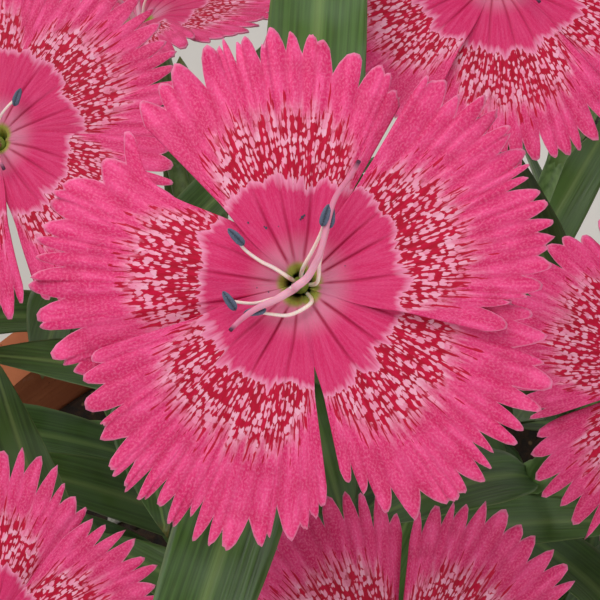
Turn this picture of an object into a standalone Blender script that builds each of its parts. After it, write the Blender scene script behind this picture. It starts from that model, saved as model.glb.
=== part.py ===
"""A bedding dianthus in a plain clay pot, in metres, +Z up.

The pot stands on the origin. Soil fills it, and twelve leafy stems stand in plain holes in the soil.
Each stem ends in one open bloom: a ring of fringed petals whose claws go down into the calyx, with the
stamens and styles standing inside the claws. The front stem's bloom stands over the others and faces up
and forward.
"""

import math
import random
from collections import namedtuple

import bmesh
import bpy
from mathutils import Matrix, Vector, noise

MM = 0.001
GAP = 0.3 * MM
MERGE = 0.01 * MM
UP = Vector((0, 0, 1))

# Pot
POT_HEIGHT = 96 * MM
POT_FOOT_RADIUS = 39 * MM
POT_NECK_RADIUS = 54 * MM
POT_RIM_RADIUS = 60 * MM
POT_RIM_HEIGHT = 22 * MM
POT_RIM_BEVEL = 2 * MM
POT_RIM_BATTER = 1.5 * MM
POT_WALL = 4.5 * MM
POT_FLOOR = 6 * MM
POT_SIDES = 32
DRAIN_RADIUS = 4 * MM
DRAIN_CIRCLE = 20 * MM
DRAIN_SIDES = 8
DRAINS = 3

# Soil
SOIL_TOP = POT_HEIGHT - 11 * MM
SOIL_MOUND = 3 * MM
SOIL_LUMP = 1.2 * MM
SOIL_LUMP_LENGTH = 11 * MM
SOIL_MIDDLE_RING = 0.45
SOIL_SIDES = 24
HOLE_SIDES = 6

# Stems
STEM_FOOT_RADIUS = 1.6 * MM
STEM_TOP_RADIUS = 1.05 * MM
STEM_SIDES = 5
STEM_RINGS = 6
ROOT_DEPTH = 20 * MM
ROOT_TIP_RADIUS = 0.7 * MM
FOOT_SHARE = 0.42

# Leaves, with the lowest and the highest pair as shares up the stem
LOWEST_PAIR = 0.12
HIGHEST_PAIR = 0.80
LEAF_ROOT = 0.5 * MM
LEAF_TRIES = 40
LEAF_SHRINK = 0.015
LEAF_THICK = 1.2 * MM
LEAF_FOLD = 0.25
LEAF_RINGS = 3
# A leaf as grown: its root, the way its stem runs, the side it points to, its length and half width,
# and its angle to the stem at its root and at its tip
Leaf = namedtuple("Leaf", "root up out length width lean arch")
# The shapes of leaves: length and half width in mm, lean and arch in degrees. FRONT_LEAF is for the
# pair under the front bloom, whose leaves point to FRONT_LEAF_SIDES in degrees. The others run from the
# foot of a stem or of a side shoot to its tip
FRONT_LEAF = (58, 4.6, 50, 88)
FRONT_LEAF_SIDES = (95, 257)
STEM_LEAVES = ((50, 3.8, 38, 88), (32, 3.2, 28, 64))
SHOOT_LEAVES = ((38, 3.6, 45, 85), (23, 3.6, 18, 55))
SHOOT_PAIRS = (0.35, 0.57, 0.78, 0.97)

# Room for the leaves: the side of a cell, the length of leaf by its stem that needs no room of its own,
# and the clearance over the soil and round the pot's rim
CELL = 1.6 * MM
LEAF_FREE = 5 * MM
SOIL_CLEAR = 1.5 * MM
RIM_CLEAR = 2 * MM

# Calyx, measured down the bloom's axis from the throat
CALYX_LENGTH = 17.5 * MM
CALYX_RADIUS = 2.5 * MM
CALYX_TOOTH_TIP = 1.6 * MM
CALYX_TOOTH_ROOT = 3.4 * MM
CALYX_SIDES = 10
SOCKET_RADIUS = 1.8 * MM
SOCKET_DEPTH = 9.5 * MM

# Bloom
BLOOM_REACH = 20 * MM
PETAL_THICK = 0.6 * MM
THROAT_RADIUS = 1.1 * MM
CLAW_OUTER = SOCKET_RADIUS - GAP
CLAW_INNER = 0.9 * MM
CLAW_TOP = 0.75 * MM
CLAWS = 5
LIMB_START = 0.6 * MM
LIMB_RISE = 1.5 * MM
LIMB_LENGTH = 2.2 * MM
LIMB_DROOP = 1.3 * MM
SIDE_DROP = 0.15
EDGE_LIFT_FROM = 2.5 * MM
EDGE_LIFT_TO = 9 * MM
BLOOM_SPIN = 31

# Rows of corners across a petal between its root and its edge, as shares of its reach, and the steps
# across in the root and in each of those rows
FRONT_ROWS = ((0.18, 0.55), (2, 4, 8))
OTHER_ROWS = ((0.42,), (2, 3))

# Stamens and styles
COLUMN_RADIUS = 0.55 * MM
COLUMN_TOP = 1.8 * MM
FILAMENT_RADIUS = 0.3 * MM
FILAMENT_OFFSET = 0.2 * MM
FILAMENT_ROOT = 3 * MM
ANTHER_RADIUS = 0.5 * MM
ANTHER_LENGTH = 1.5 * MM

# Buds and side shoots
BRANCH_RADIUS = 0.8 * MM
BUD_LENGTH = 13 * MM
BUD_RADIUS = 2.3 * MM
SHOOT_START = 0.07
SHOOT_RADIUS = 1.3 * MM
SHOOT_TAPER = 0.5 * MM

# A flowering stem: its bloom's throat as x, y and height over the pot's rim in mm, the tilt of the
# bloom's face from straight up and the side it faces in degrees, its size as a share, the turn of its
# lowest pair of leaves in degrees, and how many pairs it has
Stem = namedtuple("Stem", "x y over tilt side size turn pairs")
STEMS = (
    Stem(0, -12, 138, 25, 270, 1.00, 0, 7),
    Stem(-28, 17, 108, 15, 225, 0.97, 20, 6),
    Stem(18, 32, 112, 13, 300, 0.98, 50, 6),
    Stem(35, -3, 101, 20, 310, 0.95, 35, 6),
    Stem(8, -32, 95, 30, 280, 0.98, 60, 6),
    Stem(-29, -26, 89, 28, 230, 0.96, 10, 6),
    Stem(-64, -6, 67, 48, 185, 0.93, 40, 5),
    Stem(-30, -62, 55, 50, 244, 0.95, 20, 5),
    Stem(38, -58, 58, 50, 303, 0.94, 70, 5),
    Stem(68, 12, 65, 46, 10, 0.96, 30, 5),
    Stem(34, 53, 68, 42, 64, 0.93, 55, 5),
    Stem(-18, 55, 66, 44, 108, 0.95, 15, 5),
)

# A side branch: the place of its stem in STEMS, how far up that stem it leaves, the side it leans to in
# degrees, and its length in mm
Branch = namedtuple("Branch", "stem share side length")
BUDS = (
    Branch(1, 0.62, 100, 24),
    Branch(3, 0.60, 30, 24),
    Branch(5, 0.62, 180, 24),
    Branch(6, 0.62, 250, 22),
    Branch(8, 0.60, 250, 22),
    Branch(10, 0.62, 110, 22),
)
SHOOTS = (
    Branch(6, SHOOT_START, 155, 46),
    Branch(7, SHOOT_START, 215, 46),
    Branch(8, SHOOT_START, 270, 46),
    Branch(9, SHOOT_START, 335, 46),
    Branch(10, SHOOT_START, 35, 46),
    Branch(11, SHOOT_START, 95, 46),
    Branch(3, SHOOT_START, 5, 40),
    Branch(5, SHOOT_START, 190, 40),
)

# The edge of each petal of the front bloom, from its clockwise side on: a notch, then each tooth's tip
# and the notch after it, in degrees round the bloom and mm from its throat
FRONT_EDGES = (
    (
        (60.8, 15.6), (63.5, 16.5), (65.4, 16.2), (66.8, 17.6), (68, 17.3), (69.5, 17.9),
        (73.6, 15.7), (75.5, 18.2), (81.2, 16.3), (84.5, 18.8), (86, 18.6), (87.4, 19.2),
        (89.4, 17.6), (92.2, 19.4), (93.4, 17.9), (96.6, 19.8), (98.2, 18.5), (99, 18.6), (100, 17.2),
        (102.4, 19.4), (103.8, 18.9), (104.4, 19.2), (106, 17.6), (107.3, 19.8), (108.2, 18.7),
        (108.8, 19.3), (109.6, 18.8), (111.5, 19.5), (115.4, 16.7), (119.5, 19.3), (122.8, 17.9),
        (125.2, 18.6), (127.4, 16.8), (131.3, 18.5), (134.5, 16.8),
    ),
    (
        (136.2, 16.6), (137.6, 17.6), (142, 16.2), (147.5, 17.8), (151.6, 16.9), (156.8, 19.8),
        (158, 19.3), (159.2, 20.1), (160.2, 19.6), (161.5, 20.1), (164.2, 18.5), (167.4, 20),
        (168.8, 18.8), (170, 20.4), (172, 18.1), (174, 20.2), (175.6, 18.1), (178.4, 20.4),
        (179, 20.2), (180.2, 20.7), (183.3, 18), (187.3, 20.3), (188.3, 19.8), (189.3, 20.1),
        (191.1, 16.9), (196.5, 19.7), (197.7, 18.8), (198.8, 19), (199.4, 17.8), (201.3, 18.4),
        (204, 17),
    ),
    (
        (197.6, 15.8), (198.8, 16.7), (201.5, 16.1), (202.9, 17.8), (206.8, 16.6), (209, 18.7),
        (213.9, 16.4), (214.9, 18.4), (216, 18.2), (217.7, 19.2), (221.4, 17.5), (224, 20.1),
        (225.1, 19.8), (225.8, 20.4), (226.8, 18.2), (228.7, 20.4), (229.2, 20.2), (229.8, 20.7),
        (231, 17.9), (233.1, 20.5), (233.7, 20), (234.2, 20.2), (235.6, 17.9), (237.2, 20),
        (239.2, 18.5), (240.9, 20.8), (241.6, 20.5), (242.4, 20.9), (243.7, 18.6), (244.7, 19.6),
        (245.9, 17.9), (247.2, 21.1), (249.5, 18.8), (250.7, 20.9), (252.4, 19.5), (254.4, 20.9),
        (257.6, 18.2), (261.7, 20.1), (262.4, 19.1), (263.2, 19.4), (264, 16.9), (268.1, 19.5),
        (270, 18.2), (271.7, 18.6), (272.4, 17.1), (274.4, 17.7), (274.9, 16.6), (276.2, 16.9),
        (277.6, 15.4),
    ),
    (
        (282.1, 14.4), (283.4, 15.4), (285.8, 14.1), (286.8, 16.6), (289.2, 15.7), (290.4, 18.6),
        (294.2, 16.9), (296, 20), (300.3, 18.2), (303.8, 20.1), (304.8, 19.9), (306.2, 20.3),
        (307.4, 19.9), (308.8, 20.2), (310.2, 18.6), (313.2, 20.5), (314.8, 18.8), (316.3, 20.2),
        (317.7, 17.6), (319.1, 19.5), (320.9, 17.5), (323.9, 20.4), (325.3, 18.2), (326.9, 20.3),
        (329.3, 17.5), (332.7, 20.7), (334.6, 17.9), (338.7, 20.6), (340.9, 18.9), (342.5, 19.5),
        (343.6, 16.9), (348.5, 19.3), (350.6, 16.6), (353.5, 17.8), (354.8, 15.9), (355.8, 16.2),
        (356.5, 14.9),
    ),
    (
        (-14.2, 14.3), (-11.8, 16), (-7, 13.8), (-4.8, 16), (-4.1, 15.4), (-3, 17.3), (-2.2, 16.9),
        (-0.6, 18.4), (2.4, 16.9), (4, 19.1), (7.1, 18.2), (8.6, 19.1), (9.2, 18.9), (10.8, 19.8),
        (12.6, 18.5), (14, 19.9), (16, 18.1), (18.6, 19.9), (19.8, 18.8), (21.4, 19.7), (24.3, 17.3),
        (25.3, 19.2), (26.6, 17.9), (27.7, 19.7), (28.6, 18.6), (30.9, 20), (33.4, 18.1),
        (35.7, 19.7), (36.3, 19.4), (37.3, 20.1), (39.3, 18.1), (41.7, 20.1), (43.2, 18.4),
        (45.8, 20.1), (47.4, 17.3), (50.3, 18.8), (51.6, 17.3), (54.8, 19.1), (57.7, 18.2),
        (58.8, 18.5), (59.8, 16.8),
    ),
)
OTHER_TEETH = 6

# A petal: the directions of its clockwise and of its anticlockwise side in degrees, its reach as a
# share, the lift of its anticlockwise and of its clockwise side in mm, and how far its clockwise side
# draws in half way out, in degrees
Petal = namedtuple("Petal", "first last reach left right waist")
FRONT_PETALS = (
    Petal(60.8, 134.5, 0.97, 0.5, -0.5, 0),
    Petal(136.2, 204.0, 1.02, -0.6, -0.5, 9),
    Petal(197.6, 277.6, 1.04, 0.1, 0.7, 0),
    Petal(282.1, 356.5, 1.03, -0.6, 0.1, 0),
    Petal(-14.2, 59.8, 1.00, 0.7, 0.8, 0),
)

# The front bloom's anthers and the tips of its two styles, as (across, up, height) in mm from the throat
FRONT_ANTHERS = (
    (-5.2, 4.2, 2.2),
    (1.7, 5.8, 3.0),
    (2.9, 5.2, 2.4),
    (-5.2, -0.8, 2.4),
    (-3.9, -2.3, 1.7),
)
FRONT_STYLES = ((4.4, 9.2, 4.4), (-5.2, -3.4, 4.0))

COLOURS = {
    "clay": ((0.62, 0.30, 0.19), 0.85),
    "soil": ((0.10, 0.065, 0.045), 0.95),
    "leaf": ((0.14, 0.27, 0.09), 0.55),
    "petal": ((0.82, 0.10, 0.27), 0.60),
    "stamen": ((0.80, 0.55, 0.62), 0.50),
}


def clear_scene():
    for obj in list(bpy.data.objects):
        bpy.data.objects.remove(obj)


def new_collection(name):
    made = bpy.data.collections.new(name)
    bpy.context.scene.collection.children.link(made)
    return made


def material(name):
    found = bpy.data.materials.get(name)
    if found:
        return found
    colour, roughness = COLOURS[name]
    made = bpy.data.materials.new(name)
    made.use_nodes = True
    shader = made.node_tree.nodes["Principled BSDF"]
    shader.inputs["Base Color"].default_value = (*colour, 1)
    shader.inputs["Roughness"].default_value = roughness
    shader.inputs["Metallic"].default_value = 0
    return made


def new_object(name, mesh, surface, into):
    mesh.materials.append(material(surface))
    obj = bpy.data.objects.new(name, mesh)
    into.objects.link(obj)
    return obj


def solid(name, bm, surface, into):
    """Makes the object that holds bm, in the collection given."""
    bmesh.ops.recalc_face_normals(bm, faces=bm.faces)
    mesh = bpy.data.meshes.new(name)
    bm.to_mesh(mesh)
    bm.free()
    return new_object(name, mesh, surface, into)


def apply_modifiers(obj):
    graph = bpy.context.evaluated_depsgraph_get()
    mesh = bpy.data.meshes.new_from_object(obj.evaluated_get(graph))
    obj.modifiers.clear()
    obj.data = mesh


def prism(sides, rings):
    """A closed prism of radius 1 whose height runs from 0 to 1 in that many steps."""
    bm = bmesh.new()
    bmesh.ops.create_cone(bm, cap_ends=True, segments=sides, radius1=1, radius2=1, depth=1)
    bmesh.ops.translate(bm, verts=bm.verts, vec=UP / 2)
    uprights = [e for e in bm.edges if abs(e.verts[0].co.z - e.verts[1].co.z) > 0.5]
    bmesh.ops.subdivide_edges(bm, edges=uprights, cuts=rings - 1)
    return bm


def mould(bm, place):
    """Moves every corner to where place says, and joins the corners that meet."""
    for vert in bm.verts:
        vert.co = place(vert.co.copy())
    bmesh.ops.remove_doubles(bm, verts=bm.verts, dist=MERGE)
    return bm


def turned(name, profile, sides, surface, into, loop=False):
    """An object turned round Z from a profile of (radius, height) that runs down its outer side."""
    corners = [(radius, 0, height) for radius, height in profile]
    edges = [(k, k + 1) for k in range(len(corners) - 1)]
    if loop:
        edges.append((len(corners) - 1, 0))
    mesh = bpy.data.meshes.new(name)
    mesh.from_pydata(corners, edges, [])
    obj = new_object(name, mesh, surface, into)
    screw = obj.modifiers.new("turn", "SCREW")
    screw.steps = screw.render_steps = sides
    screw.use_merge_vertices = True
    screw.merge_threshold = MERGE
    screw.use_smooth_shade = False
    return obj


def remould(obj, place):
    """Applies an object's modifiers, then moves its corners to where place says."""
    apply_modifiers(obj)
    bm = bmesh.new()
    bm.from_mesh(obj.data)
    mould(bm, place)
    bmesh.ops.recalc_face_normals(bm, faces=bm.faces)
    bm.to_mesh(obj.data)
    bm.free()
    return obj


def gather(name, pieces):
    """Moves the pieces out of their collections into one of their own."""
    group = new_collection(name)
    for piece in pieces:
        for holder in list(piece.users_collection):
            holder.objects.unlink(piece)
        group.objects.link(piece)
    return group


def boolean(obj, operation, group):
    modifier = obj.modifiers.new(operation.lower(), "BOOLEAN")
    modifier.operation = operation
    modifier.operand_type = "COLLECTION"
    modifier.collection = group
    modifier.solver = "EXACT"


def cut(obj, cutters):
    """Cuts the cutters out of obj. They stay in a collection of their own, and aren't rendered."""
    boolean(obj, "DIFFERENCE", gather(obj.name + "_cutters", cutters))
    for cutter in cutters:
        cutter.hide_render = True
        cutter.display_type = "WIRE"
    return obj


def fuse(obj, pieces):
    """Joins the pieces to obj by one union, and removes them."""
    group = gather(obj.name + "_pieces", pieces)
    boolean(obj, "UNION", group)
    apply_modifiers(obj)
    for piece in pieces:
        bpy.data.objects.remove(piece)
    bpy.data.collections.remove(group)
    return obj


def post(name, sides, radius, low, height, surface, into):
    """An upright prism on the point low."""
    bm = bmesh.new()
    bmesh.ops.create_cone(
        bm,
        cap_ends=True,
        segments=sides,
        radius1=radius,
        radius2=radius,
        depth=height,
        matrix=Matrix.Translation(low + UP * height / 2),
    )
    return solid(name, bm, surface, into)


def smoothstep(low, high, value):
    share = min(1.0, max(0.0, (value - low) / (high - low)))
    return share * share * (3 - 2 * share)


def compass(degrees):
    """A level unit vector towards a side."""
    return Vector((math.cos(math.radians(degrees)), math.sin(math.radians(degrees)), 0))


def facing(tilt, side, spin):
    """The turn that tilts straight up by tilt degrees towards a side, after a spin about the axis."""
    swing = math.radians(side + 90)
    return (
        Matrix.Rotation(swing, 4, "Z")
        @ Matrix.Rotation(math.radians(tilt), 4, "X")
        @ Matrix.Rotation(math.radians(spin) - swing, 4, "Z")
    )


def bloom_frame(index):
    """The place of a bloom: its throat is the origin and its axis is +Z."""
    stem = STEMS[index]
    throat = Vector((stem.x * MM, stem.y * MM, POT_HEIGHT + stem.over * MM))
    return Matrix.Translation(throat) @ facing(stem.tilt, stem.side, BLOOM_SPIN * index)


def bezier(handles):
    """The curve through four handles: its point and its direction, each at a share of the way along."""
    a, b, c, d = handles

    def point(t):
        s = 1 - t
        return a * s**3 + b * 3 * s * s * t + c * 3 * s * t * t + d * t**3

    def heading(t):
        s = 1 - t
        return ((b - a) * s * s + (c - b) * 2 * s * t + (d - c) * t * t).normalized()

    return point, heading


def straight(start, end):
    return bezier([start.lerp(end, k / 3) for k in range(4)])


def across(direction, side):
    """A unit vector square to direction, towards a side."""
    return (side - direction * side.dot(direction)).normalized()


def tube(line, rings, radius, sides, root=None):
    """A tapering tube along a line. root adds a first ring: its middle and its radius."""
    point, heading = line
    bend = heading(0).cross(heading(1))
    if bend.length < 0.01:
        bend = heading(0).orthogonal()

    def place(p):
        step = round(p.z * rings)
        if root:
            step -= 1
        share = max(0, step) / (rings - 1 if root else rings)
        direction = heading(share)
        side = across(direction, bend)
        flank = direction.cross(side)
        middle, wide = (point(share), radius(share)) if step >= 0 else root
        return middle + (side * p.x + flank * p.y) * wide

    return mould(prism(sides, rings), place)


def inner_radius(height):
    """The inside radius of the pot at a height."""
    share = height / (POT_HEIGHT - POT_RIM_HEIGHT)
    return POT_FOOT_RADIUS + (POT_NECK_RADIUS - POT_FOOT_RADIUS) * share - POT_WALL


def make_pot(into):
    """The pot: a tapering wall with a band round its rim, and drain holes round the middle of its floor."""
    shoulder = POT_HEIGHT - POT_RIM_HEIGHT
    profile = (
        (0, POT_FLOOR),
        (inner_radius(POT_FLOOR), POT_FLOOR),
        (inner_radius(POT_HEIGHT), POT_HEIGHT),
        (POT_RIM_RADIUS - POT_RIM_BEVEL, POT_HEIGHT),
        (POT_RIM_RADIUS, POT_HEIGHT - POT_RIM_BEVEL),
        (POT_RIM_RADIUS - POT_RIM_BATTER, shoulder),
        (POT_NECK_RADIUS, shoulder),
        (POT_FOOT_RADIUS, 0),
        (0, 0),
    )
    pot = turned("pot", profile, POT_SIDES, "clay", into)
    drains = []
    for k in range(DRAINS):
        low = compass(360 * (k + 0.5) / DRAINS) * DRAIN_CIRCLE - UP * POT_FLOOR
        drains.append(post("drain", DRAIN_SIDES, DRAIN_RADIUS, low, 3 * POT_FLOOR, "clay", into))
    return cut(pot, drains)


def soil_height(x, y):
    """The soil's surface: a low mound with lumps."""
    mound = SOIL_MOUND * (1 - (math.hypot(x, y) / POT_NECK_RADIUS) ** 2)
    lumps = SOIL_LUMP * noise.noise(Vector((x, y, 0)) / SOIL_LUMP_LENGTH)
    return SOIL_TOP + mound + lumps


def make_soil(into):
    """The soil ball, down to the pot's floor, with a plain hole for each stem."""
    bottom = POT_FLOOR + GAP
    top_radius = inner_radius(SOIL_TOP) - GAP
    profile = (
        (0, SOIL_TOP),
        (SOIL_MIDDLE_RING * top_radius, SOIL_TOP),
        (top_radius, SOIL_TOP),
        (inner_radius(bottom) - GAP, bottom),
        (0, bottom),
    )

    def lumpy(p):
        inside = math.hypot(p.x, p.y) < 0.99 * top_radius
        if p.z > bottom + MM and inside:
            p.z = soil_height(p.x, p.y)
        return p

    soil = remould(turned("soil", profile, SOIL_SIDES, "soil", into), lumpy)
    holes = []
    for index in range(len(STEMS)):
        low = foot(index) - UP * (ROOT_DEPTH + GAP)
        wide = (STEM_FOOT_RADIUS + GAP) / math.cos(math.pi / HOLE_SIDES)
        holes.append(post("hole", HOLE_SIDES, wide, low, 1.6 * ROOT_DEPTH, "soil", into))
    return cut(soil, holes)


def foot(index):
    """Where a stem leaves the soil."""
    x = STEMS[index].x * MM * FOOT_SHARE
    y = STEMS[index].y * MM * FOOT_SHARE
    return Vector((x, y, soil_height(x, y)))


def stem_line(index):
    """The stem's middle line, from the soil to the foot of the calyx."""
    frame = bloom_frame(index)
    low = foot(index)
    high = frame @ (UP * (MM - CALYX_LENGTH))
    axis = (frame.to_3x3() @ UP).normalized()
    span = (high - low).length
    outward = Vector((high.x - low.x, high.y - low.y, 0)) * 0.25
    return bezier((low, low + UP * 0.35 * span + outward, high - axis * 0.3 * span, high))


def stem_radius(share):
    return STEM_FOOT_RADIUS + (STEM_TOP_RADIUS - STEM_FOOT_RADIUS) * share


def leaf_width(share, width):
    """Half the width of a lance-shaped leaf at a share of its length, widest at two fifths."""
    return 2.75 * width * (share + 0.02) ** 0.7 * (1 - share) ** 0.85


def leaf_point(leaf, share, side):
    """A point on a leaf's upper face: share runs from its root to its tip, side across it from -1 to 1."""
    middle, upper, flank = leaf_spine(leaf, share)
    half = leaf_width(share, leaf.width)
    return middle + flank * half * side + upper * half * LEAF_FOLD * abs(side)


def leaf_spine(leaf, share):
    """The midrib at a share of the leaf's length, with the directions out of its upper face and across it."""
    bend = leaf.arch - leaf.lean
    angle = leaf.lean + bend * share
    rise = (math.sin(angle) - math.sin(leaf.lean)) / bend
    run = (math.cos(leaf.lean) - math.cos(angle)) / bend
    middle = leaf.root + (leaf.up * rise + leaf.out * run) * leaf.length
    return middle, leaf.up * math.sin(angle) - leaf.out * math.cos(angle), leaf.up.cross(leaf.out)


def make_leaf(leaf, into):
    """A three-cornered leaf: its upper face runs from edge to edge, with the midrib's keel below."""

    def place(p):
        middle, upper, _ = leaf_spine(leaf, p.z)
        if p.y > 0:
            return middle - upper * LEAF_THICK * (1 - p.z**3)
        return leaf_point(leaf, p.z, math.copysign(1, p.x))

    return solid("leaf", mould(prism(3, LEAF_RINGS), place), "leaf", into)


def cells(points):
    return {tuple(round(value / CELL) for value in point) for point in points}


def with_neighbours(found):
    steps = (-1, 0, 1)
    return {(x + i, y + j, z + k) for x, y, z in found for i in steps for j in steps for k in steps}


def leaf_cells(leaf):
    """The cells that a leaf passes through, past its first stretch by the stem."""
    rows = math.ceil(leaf.length / CELL * 1.5)
    first = math.ceil(rows * LEAF_FREE / leaf.length)
    sides = (-1, -0.67, -0.33, 0, 0.33, 0.67, 1)
    points = [leaf_point(leaf, row / rows, side) for row in range(first, rows + 1) for side in sides]
    return cells(points), points


def over_pot(point):
    """Whether a point keeps clear of the soil and of the pot's rim."""
    far = math.hypot(point.x, point.y)
    if far < inner_radius(POT_HEIGHT) - RIM_CLEAR:
        return point.z > soil_height(point.x, point.y) + SOIL_CLEAR
    return far > POT_RIM_RADIUS + RIM_CLEAR or point.z > POT_HEIGHT + RIM_CLEAR


def line_cells(line, steps):
    return cells([line[0](step / steps) for step in range(steps + 1)])


def bloom_cells(index):
    """The cells of a bloom and its calyx."""
    frame = bloom_frame(index)
    found = cells([frame @ (UP * -CALYX_LENGTH * k / 12) for k in range(13)])
    reach = BLOOM_REACH * STEMS[index].size
    for ring in range(1, 19):
        for k in range(90):
            spot = compass(4 * k) * reach * ring / 18
            found |= cells([frame @ spot])
    return found


def grow_leaf(draw, taken, root, heading, azimuth, shape):
    """Draws a leaf until it finds room, shorter each time. A leaf that finds none isn't grown."""
    length, width, lean, arch = shape
    for attempt in range(LEAF_TRIES):
        sway = 7 + attempt
        out = across(heading, compass(azimuth + draw.uniform(-sway, sway)))
        leaf = Leaf(
            root + out * LEAF_ROOT,
            heading,
            out,
            length * MM * (1 - LEAF_SHRINK * attempt) * draw.uniform(0.92, 1.08),
            width * MM,
            math.radians(lean + draw.uniform(-6, 6)),
            math.radians(arch + draw.uniform(-10, 10)),
        )
        through, points = leaf_cells(leaf)
        if taken.isdisjoint(through) and all(over_pot(point) for point in points):
            taken |= with_neighbours(through)
            return [leaf]
    return []


def between(shapes, share):
    """The shape at a share of the way from the first of two shapes to the second."""
    first, last = shapes
    return [low + (high - low) * share for low, high in zip(first, last)]


def grow_leaves():
    """Every leaf of each stem, each in the room that stems, blooms and earlier leaves leave it."""
    taken = set()
    for index in range(len(STEMS)):
        taken |= with_neighbours(line_cells(stem_line(index), 100) | bloom_cells(index))
    for branch in BUDS:
        point, heading = bud_line(branch)
        tip = straight(point(1), point(1) + heading(1) * BUD_LENGTH)
        taken |= with_neighbours(line_cells((point, heading), 20) | line_cells(tip, 12))
    for branch in SHOOTS:
        taken |= with_neighbours(line_cells(shoot_line(branch), 60))
    grown = {index: [] for index in range(len(STEMS))}
    front = stem_line(0)
    for azimuth in FRONT_LEAF_SIDES:
        root, heading = front[0](HIGHEST_PAIR), front[1](HIGHEST_PAIR)
        draw = random.Random(azimuth)
        grown[0] += grow_leaf(draw, taken, root, heading, azimuth, FRONT_LEAF)
    for branch in SHOOTS:
        point, heading = shoot_line(branch)
        draw = random.Random(300 + branch.stem)
        for k, up in enumerate(SHOOT_PAIRS):
            shape = between(SHOOT_LEAVES, k / (len(SHOOT_PAIRS) - 1))
            for half in (0, 180):
                azimuth = branch.side + 90 * (k % 2) + half
                grown[branch.stem] += grow_leaf(draw, taken, point(up), heading(up), azimuth, shape)
    for index, stem in enumerate(STEMS):
        point, heading = stem_line(index)
        draw = random.Random(100 + index)
        pairs = stem.pairs - 1 if index == 0 else stem.pairs
        for k in range(pairs):
            up = LOWEST_PAIR + (HIGHEST_PAIR - LOWEST_PAIR) * k / (stem.pairs - 1)
            shape = between(STEM_LEAVES, up)
            for half in (0, 180):
                azimuth = stem.turn + 90 * (k % 2) + half
                grown[index] += grow_leaf(draw, taken, point(up), heading(up), azimuth, shape)
    return grown


def make_calyx(frame, into):
    """The green cup under a bloom, with five teeth round the mouth of its socket."""
    socket = SOCKET_RADIUS / math.cos(math.pi / CALYX_SIDES)
    profile = (
        (0, -SOCKET_DEPTH),
        (socket, -SOCKET_DEPTH),
        (socket, -CALYX_TOOTH_ROOT),
        (CALYX_RADIUS - 0.05 * MM, -CALYX_TOOTH_ROOT),
        (CALYX_RADIUS, -0.7 * CALYX_LENGTH),
        (0, -CALYX_LENGTH),
    )

    def toothed(p):
        corner = round(math.atan2(p.y, p.x) * CALYX_SIDES / math.tau)
        if p.z > -CALYX_TOOTH_ROOT - 0.1 * MM and corner % 2 == 0:
            p.z = -CALYX_TOOTH_TIP
        return frame @ p

    return remould(turned("calyx", profile, CALYX_SIDES, "leaf", into), toothed)


def bud_line(branch):
    point, heading = stem_line(branch.stem)
    start = point(branch.share)
    out = compass(branch.side) * branch.length * MM
    rise = UP * branch.length * MM
    first = start + heading(branch.share) * 0.2 * rise.length + out * 0.3
    return bezier((start, first, start + out * 0.45 + rise * 0.5, start + out * 0.55 + rise))


def bud_radius(share):
    """A pointed bud: a round foot, then a cylinder, then a cone."""
    return BUD_RADIUS * min(1, 0.45 + 3 * share) * min(1, 0.02 + 2.4 * (1 - share))


def make_bud(branch, into):
    line = bud_line(branch)
    twig = solid("twig", tube(line, 2, lambda share: BRANCH_RADIUS, 4), "leaf", into)
    tip, way = line[0](1), line[1](1)
    body = straight(tip - way * 0.08 * BUD_LENGTH, tip + way * 0.92 * BUD_LENGTH)
    return [twig, solid("bud", tube(body, 4, bud_radius, 6), "leaf", into)]


def shoot_line(branch):
    start = stem_line(branch.stem)[0](branch.share)
    out = compass(branch.side) * branch.length * MM
    rise = UP * branch.length * MM
    return bezier(
        (
            start,
            start + out * 0.20 + rise * 0.30,
            start + out * 0.55 + rise * 0.42,
            start + out * 0.85 + rise * 0.60,
        )
    )


def make_shoot(branch, into):
    axis = tube(shoot_line(branch), 3, lambda share: SHOOT_RADIUS - SHOOT_TAPER * share, 5)
    return solid("shoot", axis, "leaf", into)


def make_leafy_stem(index, leaves, into):
    """One stem with everything green that grows on it, fused into one solid."""
    line = stem_line(index)
    root = (foot(index) - UP * ROOT_DEPTH, ROOT_TIP_RADIUS)
    axis = tube(line, STEM_RINGS, stem_radius, STEM_SIDES, root)
    stem = solid(f"leafy_stem_{index + 1:02d}", axis, "leaf", into)
    pieces = [make_calyx(bloom_frame(index), into)]
    pieces += [make_leaf(leaf, into) for leaf in leaves]
    for branch in BUDS:
        if branch.stem == index:
            pieces += make_bud(branch, into)
    for branch in SHOOTS:
        if branch.stem == index:
            pieces.append(make_shoot(branch, into))
    return fuse(stem, pieces)


def outline(side):
    """How far a petal's edge reaches at each side, before its teeth are cut."""
    return 1 - SIDE_DROP * abs(side) ** 3


def side_angle(petal, side, share):
    """The direction of a place on a petal, from its clockwise side, -1, to its other, 1."""
    waist = petal.waist * max(0, -side) * smoothstep(0.25, 0.6, share) * (1 - smoothstep(0.65, 0.9, share))
    return petal.first + (petal.last - petal.first) * (side + 1) / 2 + waist


def front_fringe(petal, edge):
    """The edge of a petal of the front bloom, as fringe gives it."""
    made = []
    for angle, far in edge:
        side = 2 * (angle - petal.first) / (petal.last - petal.first) - 1
        made.append((side, far * MM / (petal.reach * BLOOM_REACH * outline(side))))
    return made


def fringe(seed):
    """A petal's edge from its clockwise side, -1, to its other, 1: notches and tips as (side, reach)."""
    draw = random.Random(seed)
    widths = [draw.uniform(0.65, 1.35) for _ in range(OTHER_TEETH)]
    low = -1.0
    edge = [(low, 1 - draw.uniform(0.09, 0.19))]
    for width in widths:
        high = low + 2 * width / sum(widths)
        lean = draw.uniform(-0.12, 0.12) * (high - low)
        edge.append(((low + high) / 2 + lean, 1 - draw.uniform(0, 0.06)))
        edge.append((high, 1 - draw.uniform(0.09, 0.19)))
        low = high
    return edge


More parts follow.
